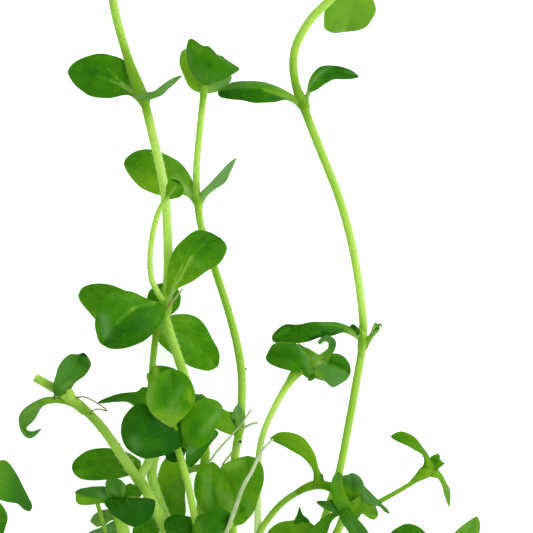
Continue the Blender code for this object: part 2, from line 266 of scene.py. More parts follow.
def addGlow(tree, shader, colour, look):
    # light that comes through the piece from behind
    tinted = mixColour(tree, look["glowTint"], colour, look["glow"])
    glow = addNode(tree, "ShaderNodeBsdfTranslucent", {"Color": tinted})
    both = addNode(tree, "ShaderNodeMixShader", {
        "Fac": look["glowShare"], 1: shader.outputs["BSDF"], 2: glow.outputs["BSDF"]})
    tree.links.new(both.outputs["Shader"], tree.nodes["Material Output"].inputs["Surface"])


leafLook = {
    "bright": (0.22, 0.50, 0.014, 1.0),
    "fresh": (0.066, 0.290, 0.0015, 1.0),
    "deep": (0.012, 0.125, 0.0015, 1.0),
    "bloom": (0.17, 0.38, 0.13, 1.0),     # the bluish grey-green of undersides, also laid on as painted bluish sheen and highlights
    "vein": (0.25, 0.50, 0.035, 1.0),
    "petiole": (0.42, 0.70, 0.20, 1.0),
    "shadow": (0.005, 0.028, 0.003, 1.0),    # painted shade in folds and under rolled margins, and bruised tips
    "glow": (0.30, 0.62, 0.03, 1.0),
    "glowShare": 0.22, "glowTint": 0.25,
    "roughness": 0.42, "underRoughness": 0.57, "specular": 0.08,
    "marks": {"Patch Scale": 300.0, "Grain Scale": 2400.0},
    # the tone runs from bright at 0 over fresh to deep at 1, and past 1 to shadow
    "freshTone": 0.5, "shadowTones": (1.25, 2.2),
    "patchTone": 0.55, "grainTone": 0.7, "darkRibTone": 0.12, "featherTone": -0.04,    # added to it
    # where base and veins turn pale, in shares of the blade's length from the stem, and how much
    "paleBase": (0.14, 0.0), "paleVeins": (0.62, 0.15),
    "paleBaseShare": 0.8, "sideVeinShare": 0.85, "ribFade": (0.0, 0.8),
    "leastBloomsheen": 0.6, "bloomsheenPatches": 0.6, "underBloom": 0.45,
    "bump": 0.4, "bumpM": 0.00014,
    "grainRelief": 0.25, "ribRelief": -1.0, "sideVeinRelief": -0.5, "featherRelief": 0.2,
}


def makeLeafSkin(name, under):
    # upper or lower skin of the leaves; the leaf's own attributes for tone and bluish grey-green choose its
    # colour, and carry painted highlights, sheen and shade as well as the leaf's own colour
    look = leafLook
    skin, tree, shader = newSkin(name)
    marks = addNode(tree, "ShaderNodeGroup", look["marks"], node_tree=mottleGroup)
    lines = addNode(tree, "ShaderNodeGroup", node_tree=veinGroup)
    tone, bloom, veins, petiole, mottle = (
        readAttribute(tree, label) for label in ("tone", "bloom", "veins", "petiole", "mottle"))
    along, midrib, sideVeins = (lines.outputs[label] for label in ("Along", "Midrib", "Side Veins"))
    cloud = swayed(tree, 0.0, marks.outputs["Patches"], look["patchTone"])
    cloud = swayed(tree, cloud, marks.outputs["Grain"], look["grainTone"])
    level = raised(tree, tone, cloud, mottle)
    # the veins are pale near the stem and darker than the blade near the tip
    pale = fadeIn(tree, along, *look["paleVeins"])
    dark = product(tree, calculate(tree, "SUBTRACT", 1.0, pale), midrib, veins)
    level = raised(tree, level, dark, look["darkRibTone"])
    level = raised(tree, level, lines.outputs["Feather"], look["featherTone"])
    colour = addRamp(tree, level, look["bright"], look["deep"], [(look["freshTone"], look["fresh"])])
    base = product(tree, fadeIn(tree, along, *look["paleBase"]), look["paleBaseShare"])
    colour = mixColour(tree, base, colour, look["vein"])
    strength = product(tree, pale, veins)
    rib = product(tree, fadeIn(tree, midrib, *look["ribFade"]), strength)
    colour = mixColour(tree, rib, colour, look["vein"])
    sides = product(tree, strength, look["sideVeinShare"], sideVeins)
    colour = mixColour(tree, sides, colour, look["vein"])
    colour = mixColour(tree, petiole, colour, look["petiole"])
    # tones past 1 turn to the shadow colour: painted shade in folds and under margins, and bruised tips
    colour = mixColour(tree, fadeIn(tree, level, *look["shadowTones"]), colour, look["shadow"])
    greyed = calculate(tree, "MAXIMUM", bloom, look["underBloom"]) if under else bloom
    patches = raised(tree, look["leastBloomsheen"], marks.outputs["Patches"], look["bloomsheenPatches"])
    # bluish grey-green of undersides, and painted bluish sheen and highlights where the leaf's attribute
    # asks for it
    colour = mixColour(tree, product(tree, greyed, patches), colour, look["bloom"])
    tree.links.new(colour, shader.inputs["Base Color"])
    shader.inputs["Roughness"].default_value = look["underRoughness"] if under else look["roughness"]
    shader.inputs["Specular IOR Level"].default_value = look["specular"]
    # veins are grooves on the upper side and ridges below
    turn = -1 if under else 1
    relief = product(tree, midrib, look["ribRelief"] * turn)
    relief = raised(tree, relief, marks.outputs["Grain"], look["grainRelief"])
    relief = raised(tree, relief, sideVeins, look["sideVeinRelief"] * turn)
    relief = raised(tree, relief, lines.outputs["Feather"], look["featherRelief"])
    addBump(tree, shader, relief, look["bump"], look["bumpM"])
    addGlow(tree, shader, colour, look)
    return skin


stemLook = {
    "pale": (0.76, 0.95, 0.40, 1.0),
    "lime": (0.56, 0.88, 0.13, 1.0),
    "green": (0.27, 0.56, 0.030, 1.0),
    "olive": (0.16, 0.40, 0.008, 1.0),     # at the nodes
    "speck": (0.17, 0.32, 0.04, 1.0),
    "glow": (0.60, 0.95, 0.20, 1.0),
    "glowShare": 0.2, "glowTint": 0.25,
    "roughness": 0.5, "specular": 0.12,
    "marks": {"Patch Scale": 420.0, "Grain Scale": 1900.0, "Speck Scale": 900.0, "Speck Size": 0.16},
    "streakScale": (26.0, 0.35, 1.0),      # around the stem, along it
    "streakTone": 0.4, "patchTone": 0.25, "nodeTone": 0.6,
    "toneToRamp": (0.6, 0.3),              # the tone times the first, plus the second
    "limeAt": 0.3, "greenAt": 0.62,        # on the ramp from pale at 0 to olive at 1
    # where the grain is high there are pale flecks, where it is low dark dots
    "fleckGrain": (0.56, 0.70), "fleckTones": (0.9, 0.0), "fleckShare": 0.8,
    "dotGrain": (0.43, 0.32), "dotShare": 0.45,
    "speckPatches": (0.45, 0.6), "speckShare": 0.5,
    "bump": 0.4, "bumpM": 0.00015,
}


def makeStemSkin():
    # the stem's attribute tone runs from pale at -0.5 over lime at 0 to green, nearNode adds olive
    look = stemLook
    skin, tree, shader = newSkin("stemSkin")
    marks = addNode(tree, "ShaderNodeGroup", look["marks"], node_tree=mottleGroup)
    patches, grain = marks.outputs["Patches"], marks.outputs["Grain"]
    flat = addNode(tree, "ShaderNodeUVMap", uv_map="UVMap").outputs["UV"]
    stretch = addNode(tree, "ShaderNodeMapping", {"Vector": flat, "Scale": look["streakScale"]})
    streaks = addNode(tree, "ShaderNodeTexNoise", {
        "Vector": stretch.outputs["Vector"], "Scale": 1.0, "Detail": 3.0}).outputs["Fac"]
    tone, near, mottle = (readAttribute(tree, label) for label in ("tone", "nearNode", "mottle"))
    cloud = swayed(tree, 0.0, streaks, look["streakTone"])
    cloud = swayed(tree, cloud, patches, look["patchTone"])
    level = raised(tree, raised(tree, tone, cloud, mottle), near, look["nodeTone"])
    scale, start = look["toneToRamp"]
    colour = addRamp(tree, raised(tree, start, level, scale), look["pale"], look["olive"],
                     [(look["limeAt"], look["lime"]), (look["greenAt"], look["green"])])
    flecks = product(tree, fadeIn(tree, grain, *look["fleckGrain"]),
                     fadeIn(tree, level, *look["fleckTones"]))
    spots = product(tree, marks.outputs["Specks"], fadeIn(tree, patches, *look["speckPatches"]))
    for kind, places, other in (
            ("fleck", flecks, "pale"),
            ("dot", fadeIn(tree, grain, *look["dotGrain"]), "speck"),
            ("speck", spots, "speck")):
        share = product(tree, mottle, look[kind + "Share"], places)
        colour = mixColour(tree, share, colour, look[other])
    tree.links.new(colour, shader.inputs["Base Color"])
    shader.inputs["Roughness"].default_value = look["roughness"]
    shader.inputs["Specular IOR Level"].default_value = look["specular"]
    addBump(tree, shader, calculate(tree, "ADD", streaks, grain), look["bump"], look["bumpM"])
    addGlow(tree, shader, colour, look)
    return skin


# Plain skins: their two colours, the scale of the patches between them, the roughness
plainLooks = {
    "cutStem": ((0.62, 0.74, 0.34, 1), (0.42, 0.58, 0.20, 1), 900, 0.6),
    "dry": ((0.50, 0.62, 0.34, 1), (0.30, 0.42, 0.15, 1), 160, 0.6),
    "tan": ((0.36, 0.44, 0.15, 1), (0.30, 0.25, 0.10, 1), 300, 0.6),
    "brown": ((0.22, 0.22, 0.09, 1), (0.16, 0.10, 0.04, 1), 300, 0.6),
    "black": ((0.010, 0.008, 0.006, 1), (0.04, 0.025, 0.012, 1), 1500, 0.5),
    "hair": ((0.74, 0.88, 0.56, 1), (0.45, 0.66, 0.26, 1), 300, 0.6),
    "root": ((0.66, 0.62, 0.44, 1), (0.42, 0.34, 0.18, 1), 200, 0.7),
}
plainForm = {"patchFade": (0.35, 0.65), "bump": 0.3, "bumpM": 0.0001}


def makePlainSkin(name, first, second, patchScale, roughness):
    # two colours that change over the surface in soft patches
    skin, tree, shader = newSkin(name)
    marks = addNode(tree, "ShaderNodeGroup", {"Patch Scale": patchScale}, node_tree=mottleGroup)
    share = fadeIn(tree, marks.outputs["Patches"], *plainForm["patchFade"])
    tree.links.new(mixColour(tree, share, first, second), shader.inputs["Base Color"])
    shader.inputs["Roughness"].default_value = roughness
    addBump(tree, shader, marks.outputs["Grain"], plainForm["bump"], plainForm["bumpM"])
    return skin


skins = {
    "leaf": makeLeafSkin("leafSkin", under=False),
    "leafUnder": makeLeafSkin("leafUnderSkin", under=True),
    "stem": makeStemSkin(),
}
for name, look in plainLooks.items():
    skins[name] = makePlainSkin(name + "Skin", *look)
print("materials made")


def finishPiece(name, mesh, coats, nodes):
    data = bpy.data.meshes.new(name)
    mesh.to_mesh(data)
    mesh.free()
    data.shade_smooth()
    for coat in coats:
        data.materials.append(skins[coat])
    piece = bpy.data.objects.new(name, data)
    bpy.context.scene.collection.objects.link(piece)
    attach(piece, "root")
    if nodes:
        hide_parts(*nodes)
    return piece


leafForm = {
    "rows": 26, "columns": 14,
    "thicknessMm": 0.42,
    "marginThickness": 0.35,    # as a share of the thickness
    "baseHalfMm": 0.75, "tipHalfMm": 0.12,
    "tapers": (0.6, 0.5), "foldDegrees": 8.0,    # of leaves given by half widths
    "lift": ((0.0, 0.6, 0.3), (0.0, 0.6, 0.3)),  # height of the margins above the midrib
    "arch": 0.05,               # height of the swelling between midrib and margin, per width
    "unevenMm": 0.10,           # of the margin, in two waves along the blade
    "waves": (9, 23), "secondWave": 0.6,
    "marginPower": 3,           # how close to the margin thinness and unevenness stay
    # colour along the blade, then what its right and left halves and margins add to it
    "tone": (0.45, 0.55), "sideTone": (0.0, 0.0), "edgeTone": (0.0, 0.0),
    "bloom": (0.0, 0.0), "sideBloom": (0.0, 0.0), "edgeBloom": (0.0, 0.0),
    "tonePower": 2, "bloomPower": 3,    # how close to the margin its colours stay
    "veins": 0.4, "mottle": 1.0, "roundTip": True,
    # brush strokes on the blade, from one pixel to another: x, y, x, y, radius in pixels,
    # then what they add to the tone and, if more is given, to the bluish grey-green and petiole colour;
    # besides pale veins and petioles they lay painted highlights, sheen and shade
    "strokes": (),
}


def halfWidth(edge, tapers, share):
    # edge is the greatest half width in mm, or a list of half widths at equal shares of the midrib
    if isinstance(edge, (list, tuple)):
        return max(easedAmong(edge, share), 0.0)
    base, tip = tapers
    widest = base / (base + tip)
    rise = (share / widest) ** base if share > 0 else 0.0
    fall = ((1 - share) / (1 - widest)) ** tip if share < 1 else 0.0
    return edge * rise * fall


def smoothPath(points, shares, beyond=None):
    # points at these shares of the smooth curve through points;
    # beyond is where the curve would go on after its end
    reach = [0.0]
    for here, there in zip(points, points[1:]):
        reach.append(reach[-1] + (there - here).length)
    course = []
    for share in shares:
        wanted = reach[-1] * share
        span = 0
        while span < len(points) - 2 and wanted > reach[span + 1]:
            span += 1
        first, second = points[span], points[span + 1]
        before = points[span - 1] if span > 0 else first * 2 - second
        after = points[span + 2] if span + 2 < len(points) else beyond or second * 2 - first
        t = (wanted - reach[span]) / (reach[span + 1] - reach[span])
        course.append(
            before * (-0.5 * t + t ** 2 - 0.5 * t ** 3)
            + first * (1 - 2.5 * t ** 2 + 1.5 * t ** 3)
            + second * (0.5 * t + 2 * t ** 2 - 1.5 * t ** 3)
            + after * (0.5 * t ** 3 - 0.5 * t ** 2)
        )
    return course


def heading(course, row):
    # the direction in which the course runs at this row
    return (course[min(row + 1, len(course) - 1)] - course[max(row - 1, 0)]).normalized()


def flatMargin(course, shares, form, sideSign):
    # a margin from half widths, folded up about the midrib
    edge = form["right"] if sideSign > 0 else form["left"]
    turn = math.radians(sideSign * form["foldDegrees"])
    margin = []
    for row, share in enumerate(shares):
        forward = heading(course, row)
        across = forward.cross(Vector((0, 0, 1))).normalized()
        normal = across.cross(forward)
        half = halfWidth(edge, form["tapers"], share) * mm
        outward = across * math.cos(turn) + normal * math.sin(turn)
        margin.append(course[row] + outward * (sideSign * half))
    return margin


def drawnMargin(course, shares, places, tip, beyond, lifts):
    # a margin from the places that the view shows, with its height above the midrib
    flat = smoothPath([Vector(place) for place in places] + [Vector(tip[:2])], shares,
                      Vector(beyond) if beyond else None)
    return [
        at(spot.x, spot.y, point.z / mm + easedAmong(lifts, share))
        for spot, point, share in zip(flat, course, shares)
    ]


def brushed(strokes, place):
    # what all strokes together add to tone, bluish grey-green and petiole colour at this pixel, painted
    # highlights, sheen and shade among them
    added = Vector((0.0, 0.0, 0.0))
    for startX, startY, endX, endY, radius, tone, *others in strokes:
        start = Vector((startX, startY))
        way = Vector((endX, endY)) - start
        share = (place - start).dot(way) / max(way.length_squared, 0.01)    # a dab has no length
        gap = (place - start - way * min(max(share, 0.0), 1.0)).length
        bloom, petiole = (others + [0, 0])[:2]
        added += Vector((tone, bloom, petiole)) * math.exp(-(gap / radius) ** 2)
    return added


def makeLeaf(name, shape, node=None):
    # A blade between its midrib and its two margins, from the base to the tip. Walking that way and
    # looking down, right and left are the walker's own sides.
    form = {**leafForm, **shape}
    rows, columns = form["rows"], form["columns"]
    shares = [0.5 - 0.5 * math.cos(math.pi * row / rows) for row in range(rows + 1)]
    course = smoothPath([at(*place) for place in form["midrib"]], shares)
    if "margins" in form:
        tip = form["midrib"][-1]
        around = (form["margins"][1][-1], form["margins"][0][-1]) if form["roundTip"] else (None, None)
        right, left = (drawnMargin(course, shares, places, tip, beyond, lifts)
                       for places, beyond, lifts in zip(form["margins"], around, form["lift"]))
    else:
        right, left = (flatMargin(course, shares, form, sideSign) for sideSign in (1, -1))
    phases = [chance.uniform(0, 2 * math.pi) for _ in range(4)]
    mesh = bmesh.new()
    mesh.loops.layers.uv.new("UVMap")
    mesh.verts.layers.deform.verify()
    for label in ("tone", "bloom", "veins", "petiole", "mottle"):
        mesh.verts.layers.float.new(label)
    layers = mesh.verts.layers.float
    thick = mesh.verts.layers.deform.active
    grid = bmesh.ops.create_grid(mesh, x_segments=columns, y_segments=rows, size=1.0, calc_uvs=True)
    for vertex in grid["verts"]:
        row = round((vertex.co.y + 1) / 2 * rows)
        side = math.sin(vertex.co.x * math.pi / 2)    # closer columns near the margins
        share = shares[row]
        reach = abs(side)
        number, sign, margin = (0, 1, right) if side > 0 else (1, -1, left)
        forward = heading(course, row)
        wide = margin[row] - course[row]
        least = blend(form["baseHalfMm"], form["tipHalfMm"], share) * mm
        if wide.length < least:
            wide = forward.cross(Vector((0, 0, 1))).normalized() * sign * least
        normal = (wide.cross(forward) * sign).normalized()
        # the blade swells between midrib and margin, and its margin is a little uneven
        arch = form["arch"] * 4 * reach * (1 - reach) * wide.length
        uneven = form["unevenMm"] * mm * math.sin(math.pi * share) * reach ** form["marginPower"]
        first, second = form["waves"]
        swing = math.sin(first * share + phases[number])
        swing += form["secondWave"] * math.sin(second * share + phases[number + 2])
        vertex.co = (course[row] + wide * reach + wide.normalized() * (uneven * swing)
                     + normal * (arch + uneven * swing))
        onMidrib = columns * reach < 1
        half = 0.5 if onMidrib else 1.0
        for label in ("tone", "bloom"):
            capital = label.capitalize()
            vertex[layers[label]] = (among(form[label], share) + form["side" + capital][number] * half
                                     + form["edge" + capital][number] * reach ** form[label + "Power"])
        # the strokes lay painted highlights, sheen and shade on the blade, and pale veins and petioles
        added = brushed(form["strokes"], seen(vertex.co))
        vertex[layers["tone"]] += added[0]
        vertex[layers["bloom"]] = min(max(vertex[layers["bloom"]] + added[1], 0.0), 1.0)
        vertex[layers["petiole"]] = min(max(added[2], 0.0), 1.0)
        vertex[layers["veins"]] = form["veins"]
        vertex[layers["mottle"]] = form["mottle"]
        vertex[thick][0] = blend(1.0, form["marginThickness"], reach ** form["marginPower"])
    bmesh.ops.recalc_face_normals(mesh, faces=mesh.faces)
    if sum(face.normal.z for face in mesh.faces) < 0:
        bmesh.ops.reverse_faces(mesh, faces=mesh.faces)
    piece = finishPiece(name, mesh, ("leaf", "leafUnder"), [node] if node else [])
    piece.vertex_groups.new(name="thickness")
    blade = piece.modifiers.new("blade", "SOLIDIFY")
    blade.thickness = form["thicknessMm"] * mm
    blade.offset = 0.0
    blade.vertex_group = "thickness"
    blade.material_offset = 1
    rounding = piece.modifiers.new("rounding", "SUBSURF")
    rounding.levels = 1
    rounding.render_levels = 1


stemForm = {
    "sides": 14, "ringMm": 1.2, "fewestRings": 8,
    "firstRing": 0.5,                  # distance of the first ring from the end, as a share of ringMm
    "endRing": 0.3,                    # distance of one more ring, as a share of that
    "roundEnds": True, "bluntness": 0.02,    # how far a round end is from a point
    "swell": 0.20, "swellMm": 1.3,      # how much and how far a node swells
    "nodeToneMm": 5.0,
    "uneven": 0.012,                   # of the radius
    "tone": (0.4, 0.3), "sideTone": -0.25,    # painted light: the side to the view's right is paler, as if lit from there
    "mottle": 1.0,
    "hairs": 0.9,                      # per square mm
    "hairMm": (0.35, 0.75), "hairRadiusMm": (0.06, 0.015), "hairLean": 0.5,
    "hairSunk": 0.08,                  # share of its length inside the stem
    "skin": "stem",
}


def makeStem(name, shape, node=None):
    # a round stem along its route, with its nodes swollen and short hairs standing on it
    form = {**stemForm, **shape}
    points = [at(*place) for place in form["route"]]
    lengthMm = sum((there - here).length for here, there in zip(points, points[1:])) / mm
    spans = max(form["fewestRings"], round(lengthMm / form["ringMm"]))
    sides = form["sides"]
    start = form["firstRing"] * form["ringMm"] / lengthMm
    tight = start * form["endRing"]
    middle = [blend(start, 1 - start, ring / spans) for ring in range(spans + 1)]
    shares = [0.0, tight] + middle + [1 - tight, 1.0]
    rings = len(shares) - 1
    course = smoothPath(points, shares)
    knots = [at(*place) for place in form.get("nodes", [])]
    frames = []
    side = Vector((1, 0, 0))
    for ring in range(rings + 1):
        forward = heading(course, ring)
        side = (side - forward * side.dot(forward)).normalized()
        gaps = [(course[ring] - knot).length / mm for knot in knots]
        swell = sum(math.exp(-(gap / form["swellMm"]) ** 2) for gap in gaps)
        near = min(1.0, sum(math.exp(-(gap / form["nodeToneMm"]) ** 2) for gap in gaps))
        radius = among(form["radii"], shares[ring]) * mm
        radius *= 1 + form["swell"] * swell + chance.uniform(-form["uneven"], form["uneven"])
        if form["roundEnds"]:
            inward = min(shares[ring], 1 - shares[ring]) * lengthMm * mm / radius
            radius *= math.sqrt(1 - (1 - min(inward + form["bluntness"], 1.0)) ** 2)
        frames.append((forward, side, forward.cross(side), radius, near))
    mesh = bmesh.new()
    uvLayer = mesh.loops.layers.uv.new("UVMap")
    toneLayer = mesh.verts.layers.float.new("tone")
    nearLayer = mesh.verts.layers.float.new("nearNode")
    mottleLayer = mesh.verts.layers.float.new("mottle")
    grid = bmesh.ops.create_grid(mesh, x_segments=sides, y_segments=rings, size=1.0, calc_uvs=True)
    for vertex in grid["verts"]:
        ring = round((vertex.co.y + 1) / 2 * rings)
        angle = math.pi * (vertex.co.x + 1)
        forward, first, second, radius, near = frames[ring]
        outward = first * math.cos(angle) + second * math.sin(angle)
        vertex.co = course[ring] + outward * radius
        # painted light: the stem's side towards the view's right is made paler
        vertex[toneLayer] = among(form["tone"], shares[ring]) + form["sideTone"] * outward.x
        vertex[nearLayer] = near
        vertex[mottleLayer] = form["mottle"]
    for face in mesh.faces:
        for loop in face.loops:
            loop[uvLayer].uv.y *= lengthMm
    bmesh.ops.remove_doubles(mesh, verts=mesh.verts, dist=1e-7)
    rim = [edge for edge in mesh.edges if edge.is_boundary]
    caps = bmesh.ops.holes_fill(mesh, edges=rim, sides=sides)["faces"]
    for cap in caps:
        cap.material_index = 1 if "endSkin" in form else 0
    bmesh.ops.recalc_face_normals(mesh, faces=mesh.faces)
    coats = [form[label] for label in ("skin", "endSkin") if label in form]
    finishPiece(name, mesh, coats, [node] if node else [])
    if form["hairs"]:
        area = 2 * math.pi * sum(turn[3] for turn in frames) / len(frames) / mm * lengthMm
        makeHairs(name + "_hairs", course, frames, form, round(area * form["hairs"]))


def makeHairs(name, course, frames, form, count):
    # short three-sided spikes standing out of the stem, some leaning along it
    mesh = bmesh.new()
    thick, thin = form["hairRadiusMm"]
    for _ in range(count):
        place = chance.uniform(0.0, len(course) - 1.001)    # in rings, never quite the last
        ring = int(place)
        forward, first, second, radius, _near = frames[ring]
        angle = chance.uniform(0, 2 * math.pi)
        outward = first * math.cos(angle) + second * math.sin(angle)
        root = blend(course[ring], course[ring + 1], place - ring) + outward * radius
        length = chance.uniform(*form["hairMm"]) * mm
        lean = (outward + forward * chance.uniform(-form["hairLean"], form["hairLean"])).normalized()
        if (root + lean * length).z < 0:
            continue
        turn = lean.to_track_quat("Z", "Y").to_matrix().to_4x4()
        stand = Matrix.Translation(root + lean * (length * (0.5 - form["hairSunk"])))
        bmesh.ops.create_cone(mesh, cap_ends=True, cap_tris=True, segments=3, radius1=thick * mm,
                              radius2=thin * mm, depth=length, matrix=stand @ turn)
    finishPiece(name, mesh, ["hair"], [])


# The stems that the frame holds as parts. Radii in mm and tones stand at equal shares of the route.
stemShapes = {
    "base_stem": {"route": [
            (120, 600, 1.8), (160, 606, 2.1), (200, 604, 2.2), (245, 608, 2.2), (290, 602, 2.1),
            (322, 596, 1.7)],
        "radii": [1.7, 2, 2.1, 2.1, 2, 1.6], "tone": (0.7, 0.8)},
    "stem_a": {"route": [
            (199, 604, 2.4), (199.4, 592, 5.2), (200, 560, 8), (201, 510, 12), (205, 460, 17),
            (202, 437, 19), (184, 375, 22.5), (166, 320, 24), (167, 300, 24.5), (168, 250, 24),
            (164.4, 190, 22), (151.4, 130, 18.5), (143, 98, 16), (128.6, 60, 13.5), (117, 20, 11.5),
            (108, -25, 10)],
        "radii": [1.3, 1.3, 1.3, 1.3, 1.3, 1.25, 1.25, 1.22, 1.18],
        "tone": (0.6, 0.5, 0.3, 0.3, 0.3, 0.35, 0.15, 0, -0.1, 0.1, 0.95, 0.2, 0.2),
        "nodes": [(202, 437, 19), (203, 469, 16.5), (167, 303, 24.5), (143, 98, 16), (108, -25, 10)]},
    "stem_f": {"route": [
            (164, 301, 25), (160, 296, 25.8), (152, 280, 28), (150, 258, 29.5), (153.4, 230, 30),
            (158.6, 212, 29.6), (164.4, 201.2, 28.8), (170.5, 194.4, 29.2)],
        "radii": [0.86, 0.82, 0.78, 0.78, 0.78, 0.62], "tone": (0.4, 0.05, 0, 0.1, 0.5)},
    "stem_b": {"route": [
            (235, 607, 2.4), (234.6, 594, 4.8), (234, 560, 6.5), (232, 500, 8.5), (235, 457, 10.5),
            (240, 425, 12), (242, 390, 13), (240, 360, 14), (231, 320, 14.8), (215.2, 270, 15),
            (202, 230, 14), (197.4, 200, 13.5), (196.4, 170, 13), (199.8, 130, 12.5), (203, 100, 12.5),
            (204.4, 84, 13.2)],
        "radii": [1.2, 1.2, 1.18, 1.15, 1.1, 1.02, 0.95, 0.92],
        "tone": (0.5, 0.35, 0.25, 0.1, 0.4, 0.45, 0.55, 0.05, 0.1, 0.05),
        "nodes": [(240, 427, 12), (198, 200, 13.5), (203, 92, 12.5)]},
    "stem_c": {"route": [
            (292, 602, 2.2), (296, 589, 5), (305, 565, 8), (322, 525, 13), (331, 500, 15.5),
            (340, 469, 17.5), (348.6, 425, 19.5), (355, 390, 20.5), (363, 338, 21.5), (360.4, 295, 21.5),
            (351.8, 244, 20.5), (338.8, 197, 19), (321.6, 153, 17), (304.6, 110, 15), (297, 90, 14),
            (293.2, 65, 13.5), (297, 43, 13), (311, 19, 13.2), (328, 2, 13.6), (346, -16, 13.2)],
        "radii": [1.15, 1.12, 1.1, 1.12, 1.12, 1.14, 1.2, 1.15, 1.2],
        "tone": (0.5, 0.5, 0.3, 0.3, 0.4, 0.15, 0, 0.15, 0.25, 0.25, 0.5, 0.15, 0.1),
        "nodes": [(363.5, 339, 21.5), (303, 103, 14.6), (346, -16, 13.2)], "mottle": 0.6},
    # stem_d's tone is pale low down, where leaf_p_right shades it: painted light against that shadow
    "stem_d": {"route": [
            (253, 607, 2.4), (254, 594, 5.2), (257, 560, 7), (257.8, 515, 9.5), (257.6, 475, 12.5),
            (260.4, 445, 14), (268.6, 420, 15.5), (283, 392, 17), (297, 371, 18)],
        "radii": [1.1, 1.05, 0.95, 0.9, 0.9, 1.05], "tone": (0, -0.4, -0.7, -0.05, -0.15, 0),
        "nodes": [(296, 371, 18)], "mottle": 0.5},
    # stem_e's tone dips below 0 beneath leaf_g_left: painted light against that leaf's shadow
    "stem_e": {"route": [
            (176, 605, 2.4), (175, 592, 5.4), (173, 560, 8.5), (165, 528, 12.5), (155, 508, 14.5),
            (145.5, 490, 16), (130, 468, 17), (114, 444, 18), (99, 424, 18), (81, 406, 17.5), (66, 395, 17),
            (53, 387.5, 16.5), (35.4, 377.6, 15.5)],
        "radii": [1.5, 1.5, 1.55, 1.55, 1.4, 1.3, 1.25, 1.2],
        "tone": (0.4, 0.3, 0.3, -0.2, 0.15, 0.65, 0.1), "roundEnds": False, "hairs": 1.6,
        "endSkin": "cutStem", "nodes": [(66, 395, 17), (142, 480, 16.3)], "mottle": 0.5},
    "stem_m": {"route": [
            (136.4, 485, 15.6), (140, 477.6, 16), (144.4, 469.2, 16.3), (148.8, 461, 16.5),
            (150.8, 446, 16.5), (151, 430, 16.5), (151, 388, 17), (153.5, 355, 17.5), (157, 324, 17.5)],
        "radii": [1.05, 1.3, 1, 1, 0.95, 0.92, 0.9, 0.9], "tone": (-0.15, 0.5, 0.45),
        "nodes": [(157, 330, 17.5), (151, 392, 17)]},
    "stem_n": {"hairs": 1.4,
        "route": [
            (187.5, 604, 2.4), (187, 592, 4.4), (184, 560, 5.6), (169, 522, 8.2), (160.4, 502, 10),
            (155.4, 489, 11), (151.6, 475, 11.6), (153.2, 462, 12), (157, 450, 12)],
        "radii": [1.15, 1.15, 1.15, 1.1, 1.45, 1.25], "tone": (0.4, 0, 0.15)},
    "stem_g": {"route": [
            (212, 605, 2.4), (211, 592, 6.4), (208, 560, 12), (196, 522, 22), (187, 480, 31),
            (177.5, 448, 36), (174, 437, 37.5)],
        "radii": [1.1, 1.05, 1, 1], "tone": (0.4, 0.3, 0.25), "nodes": [(175, 440, 37)], "mottle": 0.3},
    "stem_h": {"route": [
            (142, 603, 2.2), (138.6, 588, 6), (130, 560, 9.5), (121.5, 525, 14), (119, 510, 16.5),
            (122, 498, 18)],
        "radii": [1.6, 1.75, 1.85, 1.6], "tone": (0.3, 0.2), "nodes": [(122, 498, 18)], "mottle": 0.5},
    "stem_p": {"route": [
            (223, 606, 2.4), (221, 592, 5.4), (218, 560, 8.5), (221, 538, 13.5), (227, 527, 16)],
        "radii": [1, 1, 0.95], "tone": (0.4, 0.4), "nodes": [(227, 527, 16)]},
    "stem_i": {"route": [(258, 536, 9), (266, 522, 11), (281, 504, 14), (300, 491, 17), (318, 485, 18.5)],
        "radii": [0.9, 0.9, 0.85, 1], "tone": (0.1, 0.5, 0.7), "nodes": [(318, 485, 18.5)], "mottle": 0.4},
    "stem_j": {"route": [
            (308, 599, 2.2), (311.6, 586, 5.4), (320, 565, 10), (338, 530, 18), (345, 512, 22),
            (348, 502, 24)],
        "radii": [1.2, 1.2, 1.15, 1.1], "tone": (0.3, 0.2), "nodes": [(348, 502, 24)], "mottle": 0.4},
    "stem_k": {"route": [
            (352, 503, 24), (368, 506, 23.5), (380, 501.2, 23), (401, 489.6, 21), (418, 479, 18.5),
            (431, 470, 17.2)],
        "radii": [0.8, 0.7, 0.64, 0.7], "tone": (0.9, 1.1, 1), "nodes": [(432, 470, 17)], "mottle": 0.4},
    "stem_l": {"route": [
            (126, 601, 1.9), (110, 601, 3.4), (90, 600, 4), (50, 588, 5), (8, 562, 7), (-15, 530, 9.5),
            (-17, 502, 12), (-11, 484, 13.5)],
        "radii": [1, 1, 0.95, 0.9], "tone": (0.5, 0.4), "nodes": [(-11, 484, 13.5), (-16, 497, 12.4)]},
    "stem_s": {"route": [(318, 597, 1.8), (332, 593, 2.7), (360, 588, 4), (400, 578, 6), (436, 563, 8)],
        "radii": [1, 1, 0.9], "tone": (0.4, 0.4), "nodes": [(436, 563, 8)]},
}

